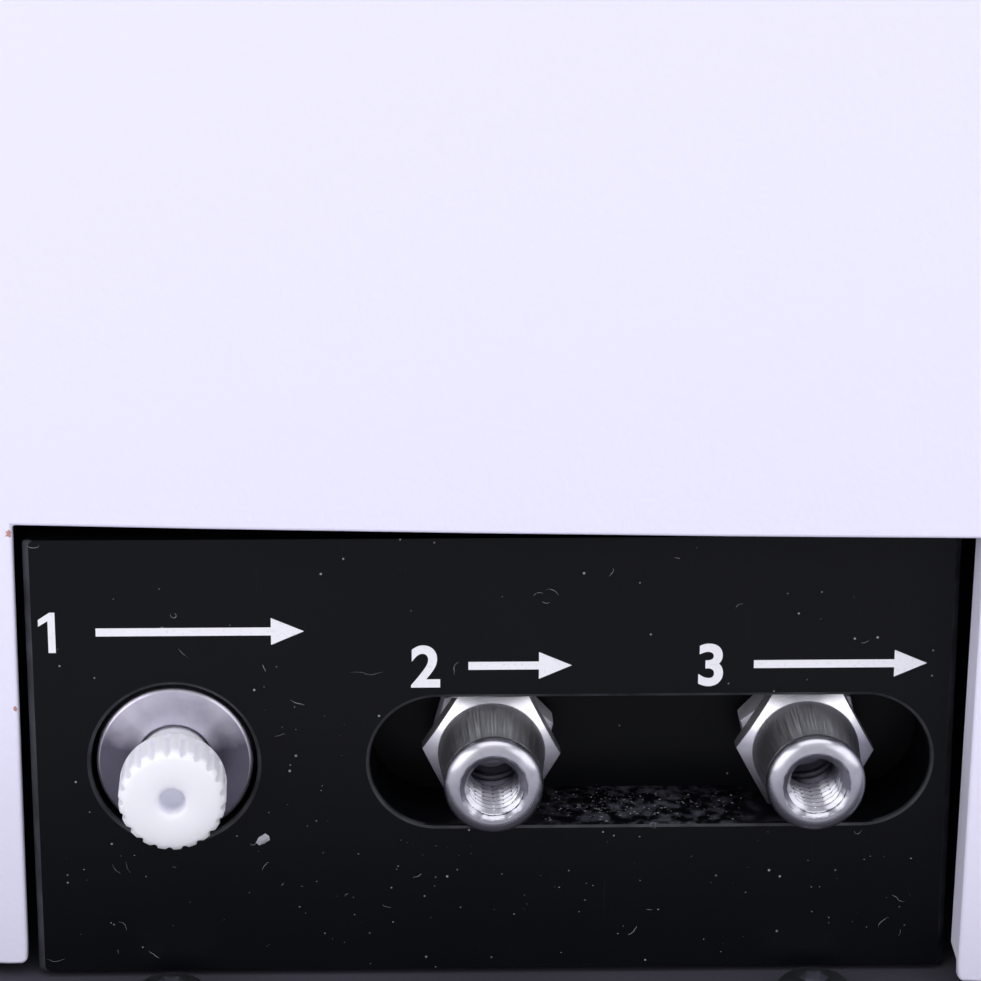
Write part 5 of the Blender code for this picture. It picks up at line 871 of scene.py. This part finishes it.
# Three stepper motors turn the carousel, the cross screw and the valve, and a small one the lift screw: black
# enamelled end caps on a stack of bare steel laminations.
motor_coat, shader = material("enamelled_laminations", "black_plastic", "1C1C1F", Roughness=0.35, IOR=1.5)
sheets = add(shader, "TexWave", {"Vector": place_of(shader), "Scale": 1 / (2.5 * MM), "Distortion": 0.0},
             bands_direction="Z")
raised(shader, sheets.outputs["Fac"], 0.05, 0.3)
mottled(shader, 6, 4, ("18181A", "29292C"))
for node in ("carousel_motor", "cross_motor", "valve_motor", "lift_motor"):
    refined(node + "_case", node, motor_coat, 0.6, smooth=40)


# The injection valve is a ground steel body and a stator with six fittings. A capillary loop of drawn steel
# tube is wound in front of it, and a ceramic-white polymer rotor turns between the two.
refined("valve_body_drum", "valve_body", ground, 0.4, smooth=40)
refined("valve_stator_head", "valve_stator", barrel_steel, 0.2, smooth=40)
refined("valve_rotor_disc", "valve_rotor", waxy, 0.2, smooth=40)
refined("sample_loop_tube", "sample_loop", ground, 0, smooth=80)


# The syringe is a precision bore glass barrel with a steel plunger, hung in a drive housing of white polymer.
# Eleven graduations are printed on the barrel's front, every fifth one longer.
refined("syringe_glass", "syringe_barrel", glass, 0.2, smooth=50)
refined("syringe_plunger_rod", "syringe_plunger", ground, 0.2, smooth=50)
refined("syringe_drive_housing", "syringe_drive", waxy, 0.6, smooth=40)
low, high = (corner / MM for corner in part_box("syringe_barrel"))
BARREL_RADIUS, FIRST_MARK, MARK_STEP, MARK_HEIGHT = 3.5, 5, 3.4, 0.25
marks = []
for k in range(11):
    wide = 2.2 if k % 5 == 0 else 1.3
    row = low.z + FIRST_MARK + k * MARK_STEP
    arc = [radians(-90) + (j / 8 - 0.5) * wide / BARREL_RADIUS for j in range(9)]
    reach = (high.x - low.x) / 2 + INK
    points = [(cos(a) * reach, sin(a) * reach) for a in arc]
    points += [(x * 1.003, y * 1.003) for x, y in reversed(points)]
    marks.append(stacked("mark", (points, row), (points, row + MARK_HEIGHT)))
piece("syringe_graduations", joined("graduations", marks), ink,
      matrix=shift((low.x + high.x) / 2, (low.y + high.y) / 2))


# The control panel is a moulded bezel with a smoked display window and four sprung keys in grey ABS, each
# with a plain sign printed on it. The display shows pale green figures.
refined("control_bezel_moulding", "control_bezel", moulded_black, 0.4)
refined("display_pane", "display_window", smoked, 0.15)
low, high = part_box("control_bezel")
centre = (low + high) / 2
BOW_RADIUS = 1600 * MM
KEY_FACE, WINDOW_FACE = 2.62, 1.2
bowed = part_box("cover")[0].y + BOW_RADIUS - sqrt(BOW_RADIUS ** 2 - centre.x ** 2)
LEAN = asin(centre.x / BOW_RADIUS)
PANEL = (Matrix.Translation((centre.x, bowed, centre.z)) @ Matrix.Rotation(LEAN, 4, "Z")
         @ Matrix.Rotation(pi / 2, 4, "X"))
lit, shader = material("lit_display_segments", "smoked_acrylic", "BFF2CF", Roughness=0.5,
                       Emission_Color=linear("8FE8AA"), Emission_Strength=0.7)
mottled(shader, 1.5, tones=("B2E8C4", "C6F8D6"))
low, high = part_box("display_window")
rise = ((low.z + high.z) / 2 - centre.z) / MM
piece("display_figures", repeated("display", printed("12  0.5", 8, 0.01), [shift(-18, rise - 4)]), lit,
      matrix=PANEL @ shift(0, 0, WINDOW_FACE))
triangle = [(cos(a) * 2.6, sin(a) * 2.6) for a in turns_of(3)]
for name, sign_turn in (("select_key", None), ("run_key", 0), ("down_key", -pi / 2),
                        ("up_key", pi / 2)):
    refined(name + "_cap", name, moulded_grey, 0.35)
    low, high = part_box(name)
    key = ((low + high) / 2 - centre) / MM
    spot = PANEL @ shift(key.x / cos(LEAN), key.z, KEY_FACE)
    if sign_turn is None:
        sign = turned("sign", [(1.7, 0), (2.4, 0), (2.4, 2 * INK), (1.7, 2 * INK)], 40)
    else:
        sign = ink_shape(triangle)
        spot = spot @ Matrix.Rotation(sign_turn, 4, "Z")
    piece(name + "_sign", sign, ink, name, matrix=spot)


# The power switch is a gloss black rocker in a moulded housing, marked I and O on its two faces.
# Both are moulded in ABS, and the signs are printed.
refined("switch_housing_moulding", "switch_housing", moulded_black, 0.4)
rocker = refined("power_rocker_cap", "power_rocker", moulded_black, 0.3, smooth=5)
faces = sorted((f for f in rocker.data.polygons if f.normal.y < -0.5), key=lambda f: -f.area)[:2]
for face, sign in zip(sorted(faces, key=lambda f: f.center.z), ("O", "I")):
    out = face.normal
    level = Vector((0, 0, 1)).cross(out).normalized()
    stand = Matrix((level, out.cross(level), out)).transposed().to_4x4()
    on_face = Matrix.Translation(face.center + out * INK * MM) @ stand @ shift(-0.8, -1.1)
    piece("rocker_sign_" + sign, printed(sign, 2.2, 0.0), ink, "rocker", matrix=on_face)


# Behind, an axial fan in a moulded frame blows through a guard in the panel; beside it is the mains inlet,
# with three nickel plated pins in its well. Pan-head screws hold the panel, fan and inlet.
refined("fan_frame_moulding", "fan_frame", moulded_black, 0.4, smooth=30)
refined("fan_rotor_moulding", "fan_rotor", moulded_black, 0.3, smooth=30)
refined("power_inlet_moulding", "power_inlet", moulded_black, 0.4, smooth=30)
nickel, shader = material("nickel_plated_brass", "zinc_plate", "CFC9BC", Metallic=1.0, Roughness=0.28)
mottled(shader, 1, 4, ("C6BFAF", "D8D4CB"))
low, high = (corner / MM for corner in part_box("power_inlet"))
PIN_FOOT, PIN_LENGTH = 17, 13
FROM_BEHIND = Matrix.Rotation(-pi / 2, 4, "X")
for name, x, z in (("left", -7, -2), ("right", 7, -2), ("earth", 0, 2)):
    blade = outline(2, 4, 0.5, steps=4)
    foot = shift((low.x + high.x) / 2 + x, high.y - PIN_FOOT, (low.z + high.z) / 2 + z)
    pin = piece("inlet_pin_" + name, stacked("pin", (blade, 0), (blade, PIN_LENGTH)), nickel,
                matrix=foot @ FROM_BEHIND)
    ease(pin, 0.4)
SLOT, ARM, SLOT_FOOT = 0.28, 1.7, 0.3
cross = [(ARM, SLOT), (SLOT, SLOT), (SLOT, ARM), (-SLOT, ARM), (-SLOT, SLOT), (-ARM, SLOT), (-ARM, -SLOT),
         (-SLOT, -SLOT), (-SLOT, -ARM), (SLOT, -ARM), (SLOT, -SLOT), (ARM, -SLOT)]
head = turned("screw", [(0.01, -0.3), (2.7, -0.3), (2.7, 0.5), (2.5, 0.95), (2.0, 1.2), (0.01, 1.3)], 32,
              loop=False)
screw = cut(head, stacked("cross", (cross, SLOT_FOOT), (cross, 2)))
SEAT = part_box("rear_panel")[1].y / MM - 0.85
places = [(x, z) for x in (-158, -53, 53, 158) for z in (34, 290)]
seats = [shift(x, SEAT, z) @ FROM_BEHIND @ Matrix.Rotation(0.3 * k, 4, "Z")
         for k, (x, z) in enumerate(places)]
piece("rear_panel_screws", repeated("screws", screw, seats), plated)


# The main board is green solder masked laminate on standoffs, over the base behind the front.
# Its copper tracks show through the mask as a paler pattern.
board_green, shader = material("solder_masked_board", "circuit_board", "14452E", Roughness=0.3, IOR=1.5)
tracks = add(shader, "TexBrick", {"Vector": place_of(shader), "Scale": 1 / (6 * MM)}).outputs["Fac"]
tinted(shader, tracks, "14452E", "2E6B4A")
refined("main_board_laminate", "main_board", board_green, 0.1)


# The instrument stands on a plain floor, painted pale grey and matt.
# It belongs to the picture only, and not to the part.
pale, shader = material("painted_floor_pale", None, "DCDCE0", Roughness=0.7, IOR=1.5)
mottled(shader, 40, 4, ("DADADE", "DEDEE2"))
FLOOR = 4.0
floor_mesh = bpy.data.meshes.new("floor")
floor_mesh.from_pydata([(-FLOOR, -FLOOR, 0), (FLOOR, -FLOOR, 0), (FLOOR, FLOOR, 0), (-FLOOR, FLOOR, 0)], [],
                       [(0, 1, 2, 3)])
floor_mesh.materials.append(pale)
placed("floor", floor_mesh)


# Soft boxes stand to the left and right in front of the ports, over the top and behind, in a pale room.
# The left one is the stronger, which lights the metal from the upper left as in the photograph.
def soft_box(name, direction, distance, width, height, power):
    """A rectangular area lamp that faces the ports from a direction."""
    lamp = bpy.data.lights.new(name, "AREA")
    lamp.shape = "RECTANGLE"
    lamp.size = width
    lamp.size_y = height
    lamp.energy = power
    made = placed(name, lamp)
    towards = Vector(direction).normalized()
    made.location = PORTS.translation + towards * distance
    made.rotation_euler = towards.to_track_quat("Z", "Y").to_euler()


soft_box("box_left", (-0.72, -0.52, 0.36), 1.1, 1.1, 0.8, 4.7)
soft_box("box_right", (0.72, -0.52, 0.36), 1.1, 1.1, 0.8, 3.4)
soft_box("box_top", (0.05, -0.3, 1), 1.6, 1.6, 1.0, 7.0)
soft_box("box_back_left", (-0.7, 0.8, 0.45), 1.6, 0.8, 0.8, 3.2)
soft_box("box_back_right", (0.7, 0.8, 0.45), 1.6, 0.8, 0.8, 3.2)

# The room is pale to the eye and in reflections, and a little dimmer as a source of light.
world = bpy.data.worlds.new("grey_room")
world.use_nodes = True
backdrop = world.node_tree.nodes["Background"]
path = add(backdrop, "LightPath").outputs
seen = add(backdrop, "Math", {0: path["Is Camera Ray"], 1: path["Is Glossy Ray"]}, operation="ADD")
seen = add(backdrop, "Math", {0: seen, 1: path["Is Transmission Ray"]}, operation="ADD", use_clamp=True)
room = add(backdrop, "Mix", {0: seen, 6: linear("C6C6CC"), 7: linear("DADADE")}, data_type="RGBA")
feed(backdrop, {"Color": room, "Strength": 1.0})
bpy.context.scene.world = world

# The camera looks down on the ports from in front, through a long lens.
yaw, pitch, roll = (radians(angle) for angle in (1.457, 17.008, 0.136))
ahead = Vector((sin(yaw) * cos(pitch), cos(yaw) * cos(pitch), -sin(pitch)))
level = Vector((cos(yaw), -sin(yaw), 0))
upright = level.cross(ahead)
right = cos(roll) * level + sin(roll) * upright
up = -sin(roll) * level + cos(roll) * upright
lens = bpy.data.cameras.new("close_up")
lens.sensor_width = 36
lens.lens = 118.8
lens.clip_start = 0.01
camera = placed("close_up", lens)
STAND = Vector((-6.323, -241.50, 96.61)) * MM
turned_to = Matrix((right, up, -ahead)).transposed().to_4x4()
camera.matrix_world = Matrix.Translation(PORTS.translation + STAND) @ turned_to
bpy.context.scene.camera = camera
bpy.context.scene.view_settings.view_transform = "Standard"
